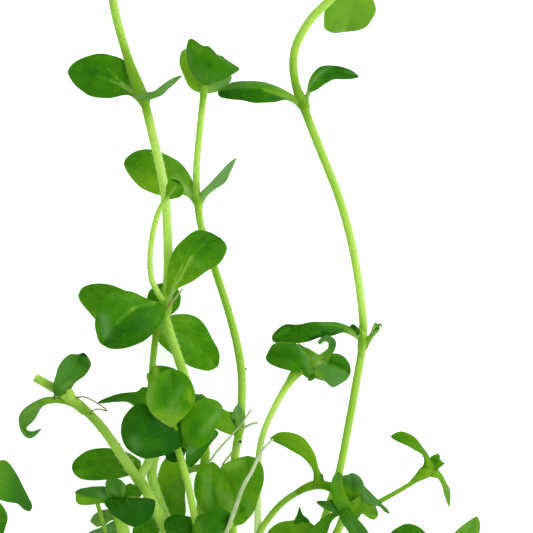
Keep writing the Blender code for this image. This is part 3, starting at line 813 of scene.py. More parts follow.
# The leaves that the frame holds as parts. The margins are the two outlines from the base to the tip,
# first the one on the walker's right.
leafShapes = {
    "leaf_a0_left": {"midrib": [(108, -24, 10), (90, -40, 8), (66, -52, 0.18)], "left": 5, "right": 5,
        "tone": (0.3, 0.5)},
    "leaf_a1_left": {"midrib": [
            (142, 99, 14.4), (132, 90.6, 12.8), (122, 85.6, 12), (100, 77, 10.6), (68, 72.5, 7)],
        "margins": (
            [(140, 94), (134, 75), (124, 60), (110, 55), (98, 54), (88, 56), (79, 59.5), (71.5, 65)],
            [(140.6, 106), (137, 101), (132, 96.4), (127, 95), (122, 95.6), (114, 97.6), (104, 98.6),
                (92, 96.4), (82, 90.6), (74, 83.6)]),
        "lift": ((0, 0.8, 0.2), (0, -0.9, -0.2)), "tone": (0.35, 0.6, 0.72, 0.6), "veins": 0.15,
        "strokes": [
            (136, 93, 122, 83, 1, -0.5, 0.1, 0.3), (122, 83, 109, 69, 0.8, -0.35, 0, 0.08),
            (133, 93, 122, 86, 1.2, -0.5, 0.1, 0.35), (122, 86, 109, 79.4, 0.9, -0.35, 0, 0.12),
            (109, 79.4, 94, 75, 0.8, -0.2, 0, 0.03), (98, 75, 86, 72, 5, 0.1), (126, 62, 125, 69, 1.8, 0.3),
            (88, 58, 110, 57, 2.5, -0.2), (136, 98, 140, 104, 2, -0.4, 0, 0.3)],
        "rows": 44, "columns": 30},
    "leaf_a1_right": {"midrib": [
            (135.6, 96.6, 16.8), (140, 97, 18.2), (148, 96.6, 18.9), (158, 93, 19.8), (168, 86, 20.4),
            (181, 76, 21)],
        "margins": (
            [(135.6, 97.6), (141, 99.8), (147, 99.9), (153, 98.6), (163, 94), (168, 89.5), (174, 84)],
            [(135.6, 95.4), (142, 93.4), (148, 92.2), (154, 91.2), (159, 87.5), (165, 83), (173, 78.2)]),
        "lift": ((0, -0.5, -3, -0.6), (0, 0.5, 3, 0.4)), "tone": (0.2, 0.45, 0.5), "bloom": (0.4, 0.3, 0.3),
        "strokes": [(155, 92, 172, 81, 2.5, -0.15, 0.1), (140, 97, 150, 96, 2.5, 0, 0.15)], "mottle": 0.5},
    "leaf_a2_left": {"midrib": [
            (164, 304.5, 26), (153, 303, 28.4), (143.4, 304.4, 29.6), (133, 308.4, 30.6),
            (124.6, 315.4, 31), (116, 324, 30.6), (103, 345, 28)],
        "margins": (
            [(162.6, 301), (153, 301.6), (146, 298.6), (133.4, 292), (122, 290.4), (109, 293.6),
                (102, 300.8), (97, 312), (94.8, 323.6), (95.6, 331), (99, 341.4)],
            [(166, 306), (165.6, 312), (164.4, 317), (157.6, 328), (149, 337), (136.4, 344.3), (125, 348),
                (112, 349.2)]),
        "lift": ((0, 0.8, 0.2), (0, -0.8, 0)), "tone": (0.6, 0.82, 0.76), "veins": 0.1,
        "sideTone": (-0.2, 0),
        "strokes": [
            # the first stroke is a painted bluish highlight on the lower left
            (104, 317, 107, 334, 4.5, -0.1, 0.55), (112, 296, 140, 297, 4, -0.15, 0.05),
            (130, 326, 116, 337, 6, 0.15), (156, 322, 162, 310, 4, -0.2),
            (155, 303, 133, 308, 1.2, -0.6, 0, 0.15), (133, 308, 116, 324, 1, -0.5, 0, 0.08)],
        "rows": 44, "columns": 30},
    "leaf_a2_right": {"midrib": [
            (168, 300, 25.5), (173, 288.6, 26.4), (180.8, 277.6, 27.5), (190.8, 257.6, 29), (204, 244, 29),
            (221, 238.6, 28)],
        "margins": (
            [(170.6, 301), (175, 291.6), (180, 287), (192, 281.6), (203, 273.6), (216, 266.5), (222, 260.5),
                (227, 250), (225.4, 243.6)],
            [(166, 296), (167.5, 285), (168.5, 268), (173, 252), (181, 241), (193, 231.5), (202, 230),
                (212, 233)]),
        "lift": ((0, -0.6, 0.2), (0, 1, 0.4)), "tone": (0.25, 0.3, 0.58, 0.7), "edgeTone": (-0.15, 0),
        "veins": 0.1,
        "strokes": [
            (173, 288, 181, 277.6, 1.3, -0.5, 0, 0.4), (181, 277.6, 191, 257.6, 1, -0.5, 0, 0.25),
            (191, 257.6, 205, 243.4, 0.9, -0.3, 0, 0.05), (174, 283, 182, 266, 0.9, -0.4, 0, 0.15),
            (169, 301, 174, 291, 2.6, -0.3, 0.1, 0.6), (203, 240, 209, 249, 4, 0.2),
            (192, 261, 201, 266, 4, -0.2, 0.15)],
        "rows": 44, "columns": 30},
    "leaf_a3_left": {"midrib": [
            (203, 468, 16.5), (190, 469, 13.5), (181, 473, 11), (171, 481, 8), (164, 490, 6),
            (161, 506, 4.5), (168, 528, 3)],
        "margins": (
            [(200, 464), (189, 465), (183, 458), (174, 455), (164, 459), (158, 474), (155, 494),
                (160, 515)],
            [(201, 472), (191, 472.6), (187, 480), (185, 496), (186, 512), (181, 524)]),
        "tone": (0.15, 0.05, 0.15), "sideTone": (0, 0.2), "sideBloom": (0, 0.1), "veins": 1,
        "strokes": [
            (179, 472, 168, 482, 1, -0.4, 0, 0.15), (168, 482, 163, 488, 0.9, -0.3, 0, 0.05),
            (176, 486, 181, 500, 5, 0, 0.1), (200, 468, 190, 469, 3.5, -0.2, 0, 0.25),
            (168, 462, 175, 468, 5, -0.15)]},
    "leaf_b0_front": {"midrib": [
            (205, 85, 13.4), (206.4, 80, 16.2), (207.6, 74, 18.6), (210, 64, 21.4), (214, 51.5, 22.6)],
        "margins": (
            [(208, 84.6), (212, 83.6), (217, 82), (223, 79.8), (231, 75.2), (240, 69.2), (240.8, 68.6),
                (232, 63), (226, 59), (222.6, 55.6), (219, 55.6)],
            [(202, 84), (199, 82), (195, 77.4), (190.4, 70), (187, 62), (185.8, 50), (188.4, 40),
                (190.4, 37.6), (196, 40.8), (204, 46.6), (208, 45.2)]),
        "lift": ((0, -0.6, 1), (0, 0.4, 1.4)), "tone": (0.55, 0.58, 0.5), "mottle": 0.5,
        "strokes": [
            (189, 52, 190, 62, 2.2, 0, 0.35), (209, 62, 210, 67, 2.2, 0.25), (203, 70, 203, 76, 3, 0, 0.15),
            (212, 52, 236, 68, 2, -0.05, 0.2), (193, 45, 200, 50, 4, -0.2, 0.05)]},
    "leaf_b0_back": {"midrib": [(204.4, 92, 12.2), (205, 84, 10.2), (205, 64, 8.4), (205, 50, 7.6)],
        "margins": (
            [(209, 93.4), (217, 91.6), (225, 86.5), (231.4, 80), (231, 74), (226, 63), (215, 53)],
            [(201, 93.2), (193, 90.2), (188, 85), (184, 76), (179.6, 65), (179, 58), (181.4, 50.6),
                (187, 49)]),
        "tone": (-0.6, -0.55, -0.45), "edgeTone": (-0.3, 0.1), "edgeBloom": (0.4, 0),
        "strokes": [(182, 51, 183, 55, 2.2, 0, 0.4), (212, 89, 228, 82, 4, -0.3, 0.35, 0.3)],
        "mottle": 0.5},
    "leaf_b1_left": {"midrib": [
            (197, 205, 13.2), (190, 194, 12.4), (183, 184, 11.6), (172, 176, 10.6), (150, 168.6, 9),
            (124, 164.5, 5)],
        "margins": (
            [(198, 202), (195.6, 192), (192.8, 181.4), (188.6, 173), (183.6, 165.8), (177, 160),
                (161, 151.6), (146, 149), (135, 151.4), (127, 157.4)],
            [(194, 206), (192.4, 202.4), (188.8, 198), (185.6, 195.2), (180, 195), (171, 195.6),
                (158, 194.8), (148, 191.6), (140, 187.4), (130.4, 177)]),
        "tone": (0.2, 0.3, 0.3, 0.5), "edgeTone": (0, -0.25), "veins": 0.1,
        "strokes": [
            (196, 204, 186, 189, 3.4, -0.3, 0.1, 0.7), (186, 189, 175, 174, 2.2, -0.1, 0.1, 0.3),
            (128, 158, 150, 152, 7, 0.15), (168, 158, 184, 172, 7, 0, 0.15),
            (150, 178, 153, 184, 4, -0.2)]},
    "leaf_b1_right": {"midrib": [
            (200, 204, 13.6), (203.6, 196, 14.6), (210, 187, 16), (222, 173, 17.8), (236, 158.4, 18.5)],
        "margins": (
            [(203, 203), (206.4, 197), (210.7, 193.2), (215, 189.3), (220, 187), (225.6, 181.6),
                (231, 170.6), (234, 164)],
            [(198.6, 199), (200.4, 192.6), (204.6, 188.4), (214.4, 178.6), (228, 163.6)]),
        "lift": ((-0.2, -1.6, -0.2), (0.2, 1.6, 0.2)), "tone": (-0.3, -0.3, -0.15),
        "bloom": (0.4, 0.9, 0.8), "mottle": 0.6,
        "strokes": [(201, 202, 208, 190, 3, -0.2, 0, 0.6), (208, 190, 228, 168, 3, -0.1, 0, 0.3)]},
    "leaf_b2_left": {"midrib": [(239, 428, 12), (224, 421, 14), (210, 412, 15.5), (198, 398, 16)],
        "margins": (
            [(239, 421), (235, 412.4), (226, 410.4), (212, 402), (202, 393.6)],
            [(238, 434), (233, 435.4), (220, 431), (205, 422), (196, 408)]),
        "tone": (0.15, 0.35)},
    "leaf_c0_front": {"midrib": [(347, -16, 13), (350, -5, 11.4), (350, 14, 6.4), (346, 31.6, 1)],
        "margins": (
            [(344, -17), (334, -8), (327, 2), (324.2, 12), (323.8, 22), (324.4, 29), (333, 32.8)],
            [(355, -17), (366, -11), (373.4, 0), (376, 11), (372, 20), (367, 26.8), (358, 30.6)]),
        "lift": ((0, 0.6, 0), (0, 0.6, 0)), "tone": (0.05, 0.05, 0.2), "bloom": (0.1, 0.15, 0.1),
        "veins": 0.6},
    "leaf_c1_left": {"midrib": [
            (301, 107, 14.8), (293, 98.6, 16.6), (284, 96, 17.4), (262, 90, 17.6), (240, 88.6, 16.4),
            (218, 92, 12)],
        "margins": (
            [(299, 100), (294.6, 95.8), (289.2, 92.4), (279.2, 87), (270, 83.7), (262, 81.6), (245, 80.8),
                (232, 82), (223, 86.4)],
            [(299.8, 108), (294.8, 104), (290.4, 101.4), (284.4, 99.4), (276.7, 101.7), (270, 102.7),
                (255, 103.4), (243, 100.6), (228, 98.8), (219.8, 96.8)]),
        "lift": ((0.2, 1.6, 0.6), (0, -0.6, 0)), "tone": (0.3, 0.5, 0.8, 0.85), "sideTone": (-0.25, 0.1),
        "edgeBloom": (0.7, 0), "veins": 0.1,
        "strokes": [
            (299, 104, 283, 95.4, 2.4, -0.5, 0, 0.25), (283, 95.4, 262, 88.6, 1.2, -0.5, 0, 0.1),
            (290, 99.4, 270, 97.4, 2.4, 0.25, 0.1), (232, 88, 250, 86, 2, 0, 0.2)]},
    "leaf_c1_right": {"midrib": [
            (305, 103, 14.8), (307.4, 94, 16.2), (310.4, 86, 17.2), (318, 77, 17.8), (334, 73.4, 18),
            (358.6, 76.6, 15)],
        "margins": (
            [(308, 103), (309.6, 96), (310.8, 92.2), (316.7, 89.6), (325, 84.2), (332.5, 80), (341.7, 79.6),
                (352.5, 78.8)],
            [(303, 101), (304.6, 96), (307, 91), (308.4, 82), (312.4, 73.6), (317.6, 68.2), (324.2, 65.4),
                (336.7, 65.8), (345, 67.5), (352, 70.2)]),
        "lift": ((0, -0.5, 0), (0.2, 1.2, 0.4)), "tone": (0.35, 0.65, 0.85, 0.85), "veins": 0.1,
        "strokes": [
            (306, 102, 309, 92.6, 2.4, -0.4, 0.1, 0.55), (308, 92, 312, 89.6, 1.6, 0.3),
            (309.4, 87, 314.4, 79, 1.5, -0.2, 0.35, 0.1), (314.4, 79, 321, 71.6, 1.5, -0.2, 0.45, 0.1),
            (321, 71.6, 330, 67, 1.6, -0.1, 0.4), (346, 70, 356, 75, 1.6, 0, 0.25)]},
    "leaf_c2_left": {"midrib": [
            (363, 341.6, 21.4), (354, 333.6, 23), (346, 329.8, 24), (330, 327.6, 24.6), (303, 332, 25),
            (272.4, 339.6, 22)],
        "margins": (
            [(364, 336), (360.4, 333.4), (356, 328.6), (349.6, 326.7), (341.2, 323.1), (332.8, 321.7),
                (324.5, 322.1), (316, 321.4), (308, 322.1), (295.3, 324.8), (286, 323.7), (277, 329.6),
                (272.2, 335.4)],
            [(360, 344), (356.6, 338.8), (350, 334.8), (342.6, 331.8), (335.3, 334.8), (327.8, 336.1),
                (317, 338.4), (310.3, 341.4), (297.8, 343.5), (285, 343.3), (275, 342.6)]),
        "lift": ((0.2, 0.8, 0.4), (0, -0.8, 0)), "tone": (0.2, 0.7, 0.85, 0.85), "veins": 0.1,
        "strokes": [
            # the strokes paint a pale band of sheen along the upper part with shade below its fold, and the
            # near-black shadow under the rolled lower margin
            (361, 339, 350, 331.4, 3.8, -0.3, 0, 0.4), (344, 326, 322, 324, 1.6, -0.35, 0.2),
            (340, 329.6, 322, 328, 2.2, 0.2, 0.15), (312, 338.8, 327, 335.8, 1.5, 1.7),
            (327, 335.8, 337, 333.4, 1.2, 0.6), (276, 337, 289.4, 326.6, 1.2, -0.35, 0.1),
            (275, 342.6, 296, 343.4, 0.8, -0.8), (323, 330, 326, 334, 1, 0.9)]},
    "leaf_d_left": {"midrib": [
            (301, 372, 17.6), (299, 366, 20.2), (292, 360, 21.4), (282, 357.4, 21.4), (266, 357, 18.6)],
        "margins": (
            [(309, 379), (314.4, 378.4), (314.8, 372.2), (312, 365.5), (306.2, 357.2), (302, 349.7),
                (297.8, 343.8), (286, 342.6), (274, 343), (269, 350.4)],
            [(304.4, 374), (299, 372.6), (289.5, 370.5), (278.7, 368), (271.2, 364.7), (266.6, 360.4)]),
        "lift": ((0, 0.2, 0), (0, 0.3, 0.2)), "tone": (0.5, 0.65, 0.62), "mottle": 0.6, "veins": 0.1,
        "strokes": [
            (304, 353, 311, 372, 3.6, -0.15, 0.35), (298.6, 344.6, 303.6, 352, 1, -0.2, 0.8),
            (274, 354, 292, 356, 6, 0.2), (274, 344.4, 296, 344.6, 1.8, -0.15, 0.25)]},
    "leaf_d_right": {"midrib": [
            (306, 371, 17.8), (312.8, 366, 19), (318.7, 361.9, 20.2), (324.5, 360.7, 20.8),
            (332.8, 364.3, 21), (341.2, 368, 20), (350.2, 373.6, 18)],
        "margins": (
            [(308, 375), (315.3, 378.4), (320.3, 380), (325.3, 381), (328.7, 384.7), (332.6, 387.2),
                (336.4, 386.8), (341.2, 383.8), (347, 379.7)],
            [(305, 366), (308.7, 360.8), (313, 357.4), (318.7, 353.9), (325, 353.8), (331.2, 353.5),
                (337, 353.3), (343.7, 356.3), (348.8, 362.2), (350.8, 368.6)]),
        "lift": ((0, -0.6, 0), (0.3, 1, 0.4)), "tone": (0.15, 0.5, 0.5), "edgeTone": (-0.1, 0),
        "sideTone": (0, 0.15), "sideBloom": (0.35, 0), "edgeBloom": (0.15, 0.2), "veins": 0, "mottle": 0.4,
        "strokes": [
            (308, 364, 321, 357, 3.6, -0.5, 0, 0.15), (312.6, 366.4, 319, 362, 0.9, -0.2, 0.1, 0.5),
            (319, 362, 324.4, 361, 0.9, -0.2, 0.1, 0.4), (308.7, 361, 318.4, 354.4, 1, -0.2, 0.2, 0.5),
            (327, 359.4, 344, 367, 2, 0.25), (316, 374, 322, 377, 3.5, -0.3, -0.3)]},
    "leaf_e1_top": {"midrib": [(63, 396, 18.2), (65, 384, 20.6), (73, 369, 22), (83.6, 353, 21)],
        "margins": (
            [(69, 392), (72.6, 386.6), (75.2, 382.4), (84, 376), (89.2, 370), (91.4, 363.6), (88, 356.6)],
            [(57, 396.8), (53.2, 393.4), (51.8, 388.6), (53.4, 383), (56, 375), (58.4, 367), (63, 359),
                (70.5, 353.8), (77, 354.4)]),
        "lift": ((0, 0.9, 0.3), (0, 0.5, 0.3)), "tone": (0.55, 0.55, 0.75), "bloom": (0.1, 0.15, 0.15),
        "veins": 0.1, "mottle": 0.6,
        "strokes": [
            (82.6, 353.2, 85.4, 354.6, 1.8, 2, -0.2), (57, 380, 66, 362, 5, -0.05, 0.25),
            (80, 360, 87, 367, 5, 0.25, -0.1), (63, 387, 71, 382, 2.6, -0.25, 0.2),
            (58, 394, 54, 388, 2.6, 0.25), (63, 381, 74, 377, 1.2, 0.2)]},
    "leaf_e1_left": {"midrib": [
            (81, 413, 17), (70, 404, 17.4), (60, 400.2, 17), (47, 400, 16), (33, 409, 12.5), (22.6, 422, 7),
            (25.6, 433.4, 3), (41, 429.2, 0.8)],
        "margins": (
            [(79, 405), (68, 397.6), (56, 397), (47, 396.6), (39, 399.4), (30, 404), (20.6, 411.6),
                (18, 418), (19, 426), (22, 433.6), (28, 438.8), (34.6, 436.8)],
            [(83, 416), (71.6, 406.6), (60, 403.4), (50, 403.4), (44, 405), (40, 410), (36, 417), (31, 423),
                (25.2, 428), (29, 431), (34, 431.4)]),
        "lift": ((0, 0.2, 0.8, 0.8, 0), (0, 0, -0.4, 0.2)), "tone": (0, 0.2, 0.35, 0.4, 0.55),
        "edgeBloom": (0.3, 0.1), "bloom": (0, 0, 0.15, 0.15, 0.3), "veins": 0.1, "mottle": 0.6,
        "strokes": [(82, 413, 50, 400, 4, -0.35, 0, 0.1), (26, 412, 38, 404, 1.4, -0.2, 0, 0.1)]},
    "leaf_e2_left": {"midrib": [
            (142, 477, 15.4), (139, 470, 13.4), (122, 463, 11.4), (97, 464.6, 9.5), (72, 468, 7)],
        "margins": (
            [(141, 461), (133, 455.4), (124, 451), (105, 447.8), (88, 450.6), (78, 456.6), (73, 462)],
            [(140, 473), (129, 475.6), (118, 478.4), (107, 480), (90, 480.6), (80, 478.4), (74, 473.4)]),
        "lift": ((0, 0.6, 0.2), (0, 0.9, 0.4)), "tone": (0.25, 0.5, 0.5), "veins": 0.8},
    "leaf_m0": {"midrib": [(157, 328, 17.5), (159.6, 316, 17.4), (163, 302, 18), (164, 283, 18.5)],
        "margins": (
            [(166, 316), (172, 314), (179, 307), (181, 297), (178, 288), (172, 283.6)],
            [(156, 316), (150, 308), (147, 299), (149.6, 291), (156, 284.6)]),
        "tone": (0.45, 0.55)},
    "leaf_m1_left": {"midrib": [(154, 332, 17.5), (128, 318, 15.5), (104, 302, 12), (78.6, 295, 7)],
        "margins": (
            [(156, 326), (142, 304), (126, 290.6), (113, 285.4), (100, 283.4), (90, 284.4), (82, 288)],
            [(152, 335), (130, 334), (110, 327), (95, 319), (86, 309), (80, 301)]),
        "lift": ((0, 0.3, 0.2), (0, -0.6, 0.2)), "tone": (0.3, 0.55), "edgeTone": (0.1, -0.2)},
    "leaf_m1_right": {"midrib": [(157, 331, 17), (176, 333, 15), (199, 345, 12), (217, 367, 8)],
        "margins": (
            [(157, 340), (163, 347), (175, 357), (186, 364), (197, 368.6), (208, 371)],
            [(160, 323), (170, 315.6), (181, 314), (192, 314.6), (200, 318.6), (206, 326), (213, 340),
                (218.4, 350), (219.6, 360)]),
        "tone": (0.3, 0.45, 0.4), "veins": 0.7,
        "strokes": [
            (160, 332, 178, 336, 1.2, -0.3, 0, 0.2), (178, 336, 192, 346, 1, -0.2, 0, 0.05),
            (172, 326, 185, 328, 1.2, -0.25, 0, 0.1)]},
    "leaf_m2_left": {"midrib": [(150, 397, 17), (136, 398, 19), (118, 399.6, 19.5), (98, 403, 17)],
        "margins": (
            [(152, 387), (145, 387), (141.6, 387), (138, 391.4), (130, 392.2), (119, 393.6), (110, 396.4),
                (102, 399.6)],
            [(151, 406), (140, 406.6), (134, 405.6), (130, 403.2), (125, 402), (115, 401.8), (105, 402.8)]),
        "lift": ((0.4, 2, 0.2), (-0.4, -2, -0.2)), "tone": (0.6, 0.8),
        "strokes": [(102, 402, 132, 402.6, 0.9, -0.2, 0.6)]},
    "leaf_g_left": {"midrib": [
            (184, 441, 37.4), (174, 437, 39.2), (158, 431, 40), (141, 431, 40), (121, 431.6, 37)],
        "margins": (
            [(186, 434), (181, 425), (173, 419), (163, 416), (156, 412), (150, 407), (141, 402.8),
                (133, 406), (125.6, 414.6), (121.8, 423)],
            [(184.4, 444), (180, 447.6), (172, 451.8), (165, 454.8), (150, 458.6), (142, 458), (134.6, 455),
                (127.6, 449.6), (122.8, 441)]),
        "lift": ((0, -0.4, 0), (0, -0.6, 0)), "tone": (1.1, 1, 0.9, 0.9), "veins": 0, "mottle": 0.5,
        "strokes": [
            # the first stroke is a painted bluish highlight at the left end
            (134, 441, 137, 446, 5, -0.15, 0.4), (157, 418, 166, 426, 3, 0, 0.3),
            (181, 440, 176, 444, 5, 0.3), (146, 444, 160, 446, 5, -0.15)]},
    "leaf_g_top": {"midrib": [(172.4, 427, 40.6), (172, 417, 44), (171, 395, 47.5), (172, 369, 46.5)],
        "margins": (
            [(176, 424.6), (180, 420.4), (185, 416), (191, 410), (195, 402), (194.8, 391), (188.4, 377.4),
                (181.4, 371.4)],
            [(168, 426), (160.6, 421.4), (152, 414), (147.6, 406), (146.2, 395), (149.6, 384), (157, 375.6),
                (164, 370.6)]),
        "tone": (0.1, 0.4, 0.55, 0.5), "edgeTone": (-0.05, -0.15), "veins": 0, "mottle": 0.35,
        "strokes": [
            # the stroke at (169, 410) is a painted highlight and the lighter diagonal streak a painted
            # sheen; the others are lighter and darker patches
            (149, 404, 151, 384, 3.5, -0.2, 0.3), (164, 402, 165, 388, 4, 0.25),
            (174, 376, 177, 386, 4, 0.15), (172, 404, 182, 387, 2.6, -0.1, 0.25),
            (169, 410, 175, 410.6, 2.4, -0.1, 0.4, 0.12), (187.5, 403, 188, 406, 2.6, 0.4),
            (189, 391, 190, 400, 3.5, -0.4), (157, 414, 180, 417.6, 4, -0.25),
            (162.6, 421.4, 165, 423, 1.6, -0.4, 0.1, 0.6), (168, 424.4, 174, 424, 2.4, -0.8, 0, 0.1)]},
    "leaf_g_right": {"midrib": [
            (182.4, 441, 37.6), (185, 434.6, 39.8), (193, 428, 41.2), (206, 416, 41.4), (222.2, 406.4, 38)],
        "margins": (
            [(186, 443), (191, 446.4), (198, 448.4), (204, 446.4), (209, 441), (213.4, 433), (217.6, 425),
                (221, 416.6), (222.4, 411)],
            [(181.6, 434), (180.4, 427), (181.4, 420), (185, 413), (190, 406.6), (196, 401), (203, 398.4),
                (211, 398.8), (218, 401.4)]),
        "lift": ((0, -0.5, 0), (0, -0.5, 0)), "tone": (0.45, 0.48, 0.42), "veins": 0, "mottle": 0.35,
        "strokes": [
            # the streak from (203, 433) to (216, 414) is a painted gloss streak
            (205, 404, 210, 411, 4, 0.15), (203, 433, 216, 414, 3, -0.15, 0.3),
            (219, 404, 220, 416, 2.5, 0, 0.35), (196, 423, 193, 435, 4, 0.25),
            (189, 407, 198, 402, 4, -0.15), (183, 424, 184, 434, 2, -0.1, 0.05)]},
    "leaf_h_front": {"midrib": [(126, 497, 19), (128, 502, 25), (131, 512, 30), (134, 526.6, 33)],
        "margins": (
            [(134, 497.6), (148, 498.4), (155.6, 500.6), (155, 509), (151, 517), (143, 523.6)],
            [(118, 497.4), (107, 498.4), (104.4, 503), (110, 511), (117, 518.4), (126, 524)]),
        "tone": (0.95, 1), "mottle": 0.3},
    "leaf_h_left": {"midrib": [(120, 499, 18.5), (106, 500, 20), (90, 497.4, 19), (75, 492, 16)],
        "margins": (
            [(118, 492), (105, 486.8), (97, 486.4), (85, 487.4), (79, 489)],
            [(118, 506), (109, 508.4), (105.6, 503.6), (96, 503.8), (92, 504.6), (84, 505.4), (78, 504.2),
                (75.4, 500.6), (75.8, 495.6)]),
        # its upper half is painted darker as shade and its lower half lighter; the stroke at (99, 494) is a
        # painted bluish highlight
        "tone": (0.6, 0.6), "sideTone": (0.2, -0.35), "sideBloom": (0.2, 0), "roundTip": False, "veins": 0,
        "mottle": 0.4, "strokes": [(99, 494, 103, 497, 2.6, -0.15, 0.4), (77, 499, 86, 502, 3, -0.15)]},
    "leaf_p_left": {"midrib": [(226, 525, 17), (217, 508, 20.5), (213, 487, 22.5), (211.6, 462, 22)],
        "margins": (
            [(230, 519), (232.6, 508), (234, 497), (230.6, 488.4), (227, 479.4), (221.4, 470.4),
                (217, 464.4)],
            [(219, 524), (205, 513.4), (198.4, 503.6), (194.2, 493), (193.6, 485), (196, 473.6),
                (203, 465.4)]),
        "tone": (0.2, 0.35, 0.4), "veins": 0, "mottle": 0.8,
        "strokes": [
            # the streak from (219, 491) to (231, 502) is a painted gloss streak
            (214, 484, 215, 508, 2.2, 0.3), (207, 479, 208, 502, 4.5, -0.05, 0.25),
            (219, 491, 231, 502, 3.4, -0.25, 0.35), (198, 478, 197, 494, 3, 0.25),
            (217, 466, 227, 482, 3, 0.1)]},
    "leaf_p_right": {"midrib": [(231, 526, 16.5), (240, 507, 18.5), (245, 485, 20), (247, 456, 20)],
        "margins": (
            [(237, 525.4), (243, 524), (248, 519.4), (252.4, 515), (256, 507.6), (259.4, 496), (263, 484),
                (264, 473), (262.6, 465.6), (256.6, 458.4)],
            [(225, 525), (222, 508), (221, 490), (219, 478), (221, 466.6), (232, 460)]),
        "tone": (0.3, 0.38, 0.4), "veins": 0.2, "mottle": 0.8,
        "strokes": [
            (224, 467, 240, 462, 4, -0.25, 0, 0.1), (247, 500, 252, 513, 3.2, 0, 0.2),
            (240, 507, 244, 511, 1.2, 0.5), (244, 511, 246.4, 518, 1.2, 0.5)]},
    "leaf_y_right": {"midrib": [
            (203.6, 549, 15.8), (198, 545, 22), (204, 534, 27.6), (216, 524, 29), (232, 519.4, 27)],
        "margins": (
            [(204, 556), (214, 540), (221, 532), (227, 528.6), (231, 525)],
            [(189, 545), (192, 528), (198, 515), (205, 513.4), (210, 509), (216, 507.4), (222, 507.2),
                (226.6, 509.6), (230.4, 514.6)]),
        "tone": (0.7, 0.7, 0.8), "veins": 0, "mottle": 0.3,
        "strokes": [(196, 524, 200, 532, 5, -0.35), (226, 518, 230, 524, 3.5, 0.25)]},
    "leaf_i_left": {"midrib": [
            (319, 484, 19), (316, 470, 21.5), (306.6, 453, 23), (291, 440.6, 23), (270, 438.6, 20)],
        "margins": (
            [(325, 481), (322, 474.6), (318, 466), (315, 454), (306, 440), (295, 433), (282, 431.6),
                (275, 434)],
            [(313, 484), (314, 476), (311.6, 468), (304, 459), (288, 448.4), (274, 441.6)]),
        "lift": ((0, 0.9, 0.4), (0, -0.3, 0)), "tone": (0.1, 0.15, 0.3), "edgeTone": (-0.15, 0.2),
        "mottle": 0.4},
    "leaf_j_top": {"midrib": [(352, 504, 24.6), (352, 495, 25), (352, 484, 26.4), (352, 473.2, 27.8)],
        "margins": (
            [(358, 503), (363, 497), (365.6, 491.6), (364.4, 486), (362, 479.4), (357.6, 474.8)],
            [(347, 502), (344, 492), (342.4, 482), (343.2, 475.4), (346.8, 475)]),
        "lift": ((0.2, 2.6, 1.6), (0.2, 1.4, 0.8)), "tone": (1, 0.25, 0.75, 0.5),
        "bloom": (0, 0, 0.15, 0.8), "edgeBloom": (0.7, 0), "veins": 0, "mottle": 0.4},
    "leaf_j_front": {"midrib": [(344, 505, 24.6), (347, 511, 28.6), (355, 526, 31), (370, 552, 26)],
        "margins": (
            [(341, 507), (338.6, 514), (341.6, 521), (351, 536), (363, 550)],
            [(348, 505), (352.6, 513), (361, 522), (369.6, 534), (375, 548)]),
        "tone": (0.65, 0.75), "bloom": (0, 0.15, 0.5), "mottle": 0.4},
    "leaf_q": {"midrib": [(322, 558, 12), (308, 544, 13), (290, 538, 12), (265, 541, 8)],
        "margins": (
            [(322, 538), (313, 524.4), (303, 519.8), (292, 520), (280, 522), (269, 530)],
            [(312, 562), (296, 560), (280, 556), (268, 549)]),
        "tone": (0.35, 0.3), "edgeTone": (-0.1, 0.1)},
    "leaf_k_left": {"midrib": [
            (427, 470, 17.6), (426.6, 461, 19.2), (422, 451, 20.6), (411, 441, 21), (390.8, 436.4, 19)],
        "margins": (
            [(436, 470), (431.6, 462), (429.6, 456), (425, 449.6), (420, 443), (415, 437.2), (408, 433),
                (401, 431.2), (395, 432.8)],
            [(420, 470), (424.4, 462), (423.8, 457.2), (421, 453.6), (417, 451), (410, 447), (402, 443.6),
                (395, 440.4)]),
        "lift": ((0, 0.8, 0.2), (0, -0.3, 0)), "tone": (0.1, 0.15, 0.3, 0.5), "veins": 0, "mottle": 0.3,
        "edgeTone": (-0.1, 0.1), "strokes": [(420, 444, 428, 456, 2, 0, 0.6)]},
    "leaf_k_right": {"midrib": [
            (431, 471, 17), (438, 475, 15.2), (443.6, 483, 12), (447, 493, 6.5), (449.2, 506.8, 0.6)],
        "margins": (
            [(429, 477), (434.6, 476.6), (438, 479.2), (441, 483.4), (443, 488.4), (444.8, 496.4),
                (447, 503)],
            [(434, 466), (439, 470.4), (443.4, 476), (447, 483.4), (450, 491), (450.4, 500)]),
        "lift": ((0, -0.4, 0), (0, 0.5, 0)), "tone": (0.1, 0.1, 0.15), "veins": 0, "mottle": 0.3,
        "edgeTone": (-0.1, 0.1), "strokes": [(447, 488, 449, 500, 2, 0, 0.35)]},
    "leaf_l_upper": {"midrib": [
            (-11, 485, 13.8), (-5, 481, 15.2), (4, 480.4, 16), (16, 490, 14), (30, 511, 8)],
        "margins": (
            [(-10, 490), (-2, 498), (5, 501.4), (17, 504), (24, 509.6)],
            [(-7, 471), (0, 460), (8, 461.4), (14, 470), (20, 480), (27, 494), (32.4, 505)]),
        "lift": ((0, -0.5, 0), (0.3, 1.4, 0.2)), "tone": (0.05, 0.75, 0.85), "bloom": (0.2, 0.1, 0.1),
        "mottle": 0.4},
    "leaf_l_lower": {"midrib": [(-16, 496, 13), (-4, 504, 12.5), (1, 520, 7), (-1, 545, 0.4)],
        "margins": (
            [(-19, 500), (-12, 510), (-8, 522), (-7, 536)], [(-12, 495), (2, 505), (8, 518), (4, 532)]),
        "tone": (0.5, 0.7)},
    "leaf_s_left": {"midrib": [(435.6, 562.6, 8.2), (424, 548, 10), (408, 541, 9), (386, 539, 5)],
        "margins": (
            [(436, 546), (426, 532.6), (416, 525), (406, 524), (397, 527.6), (389, 534)],
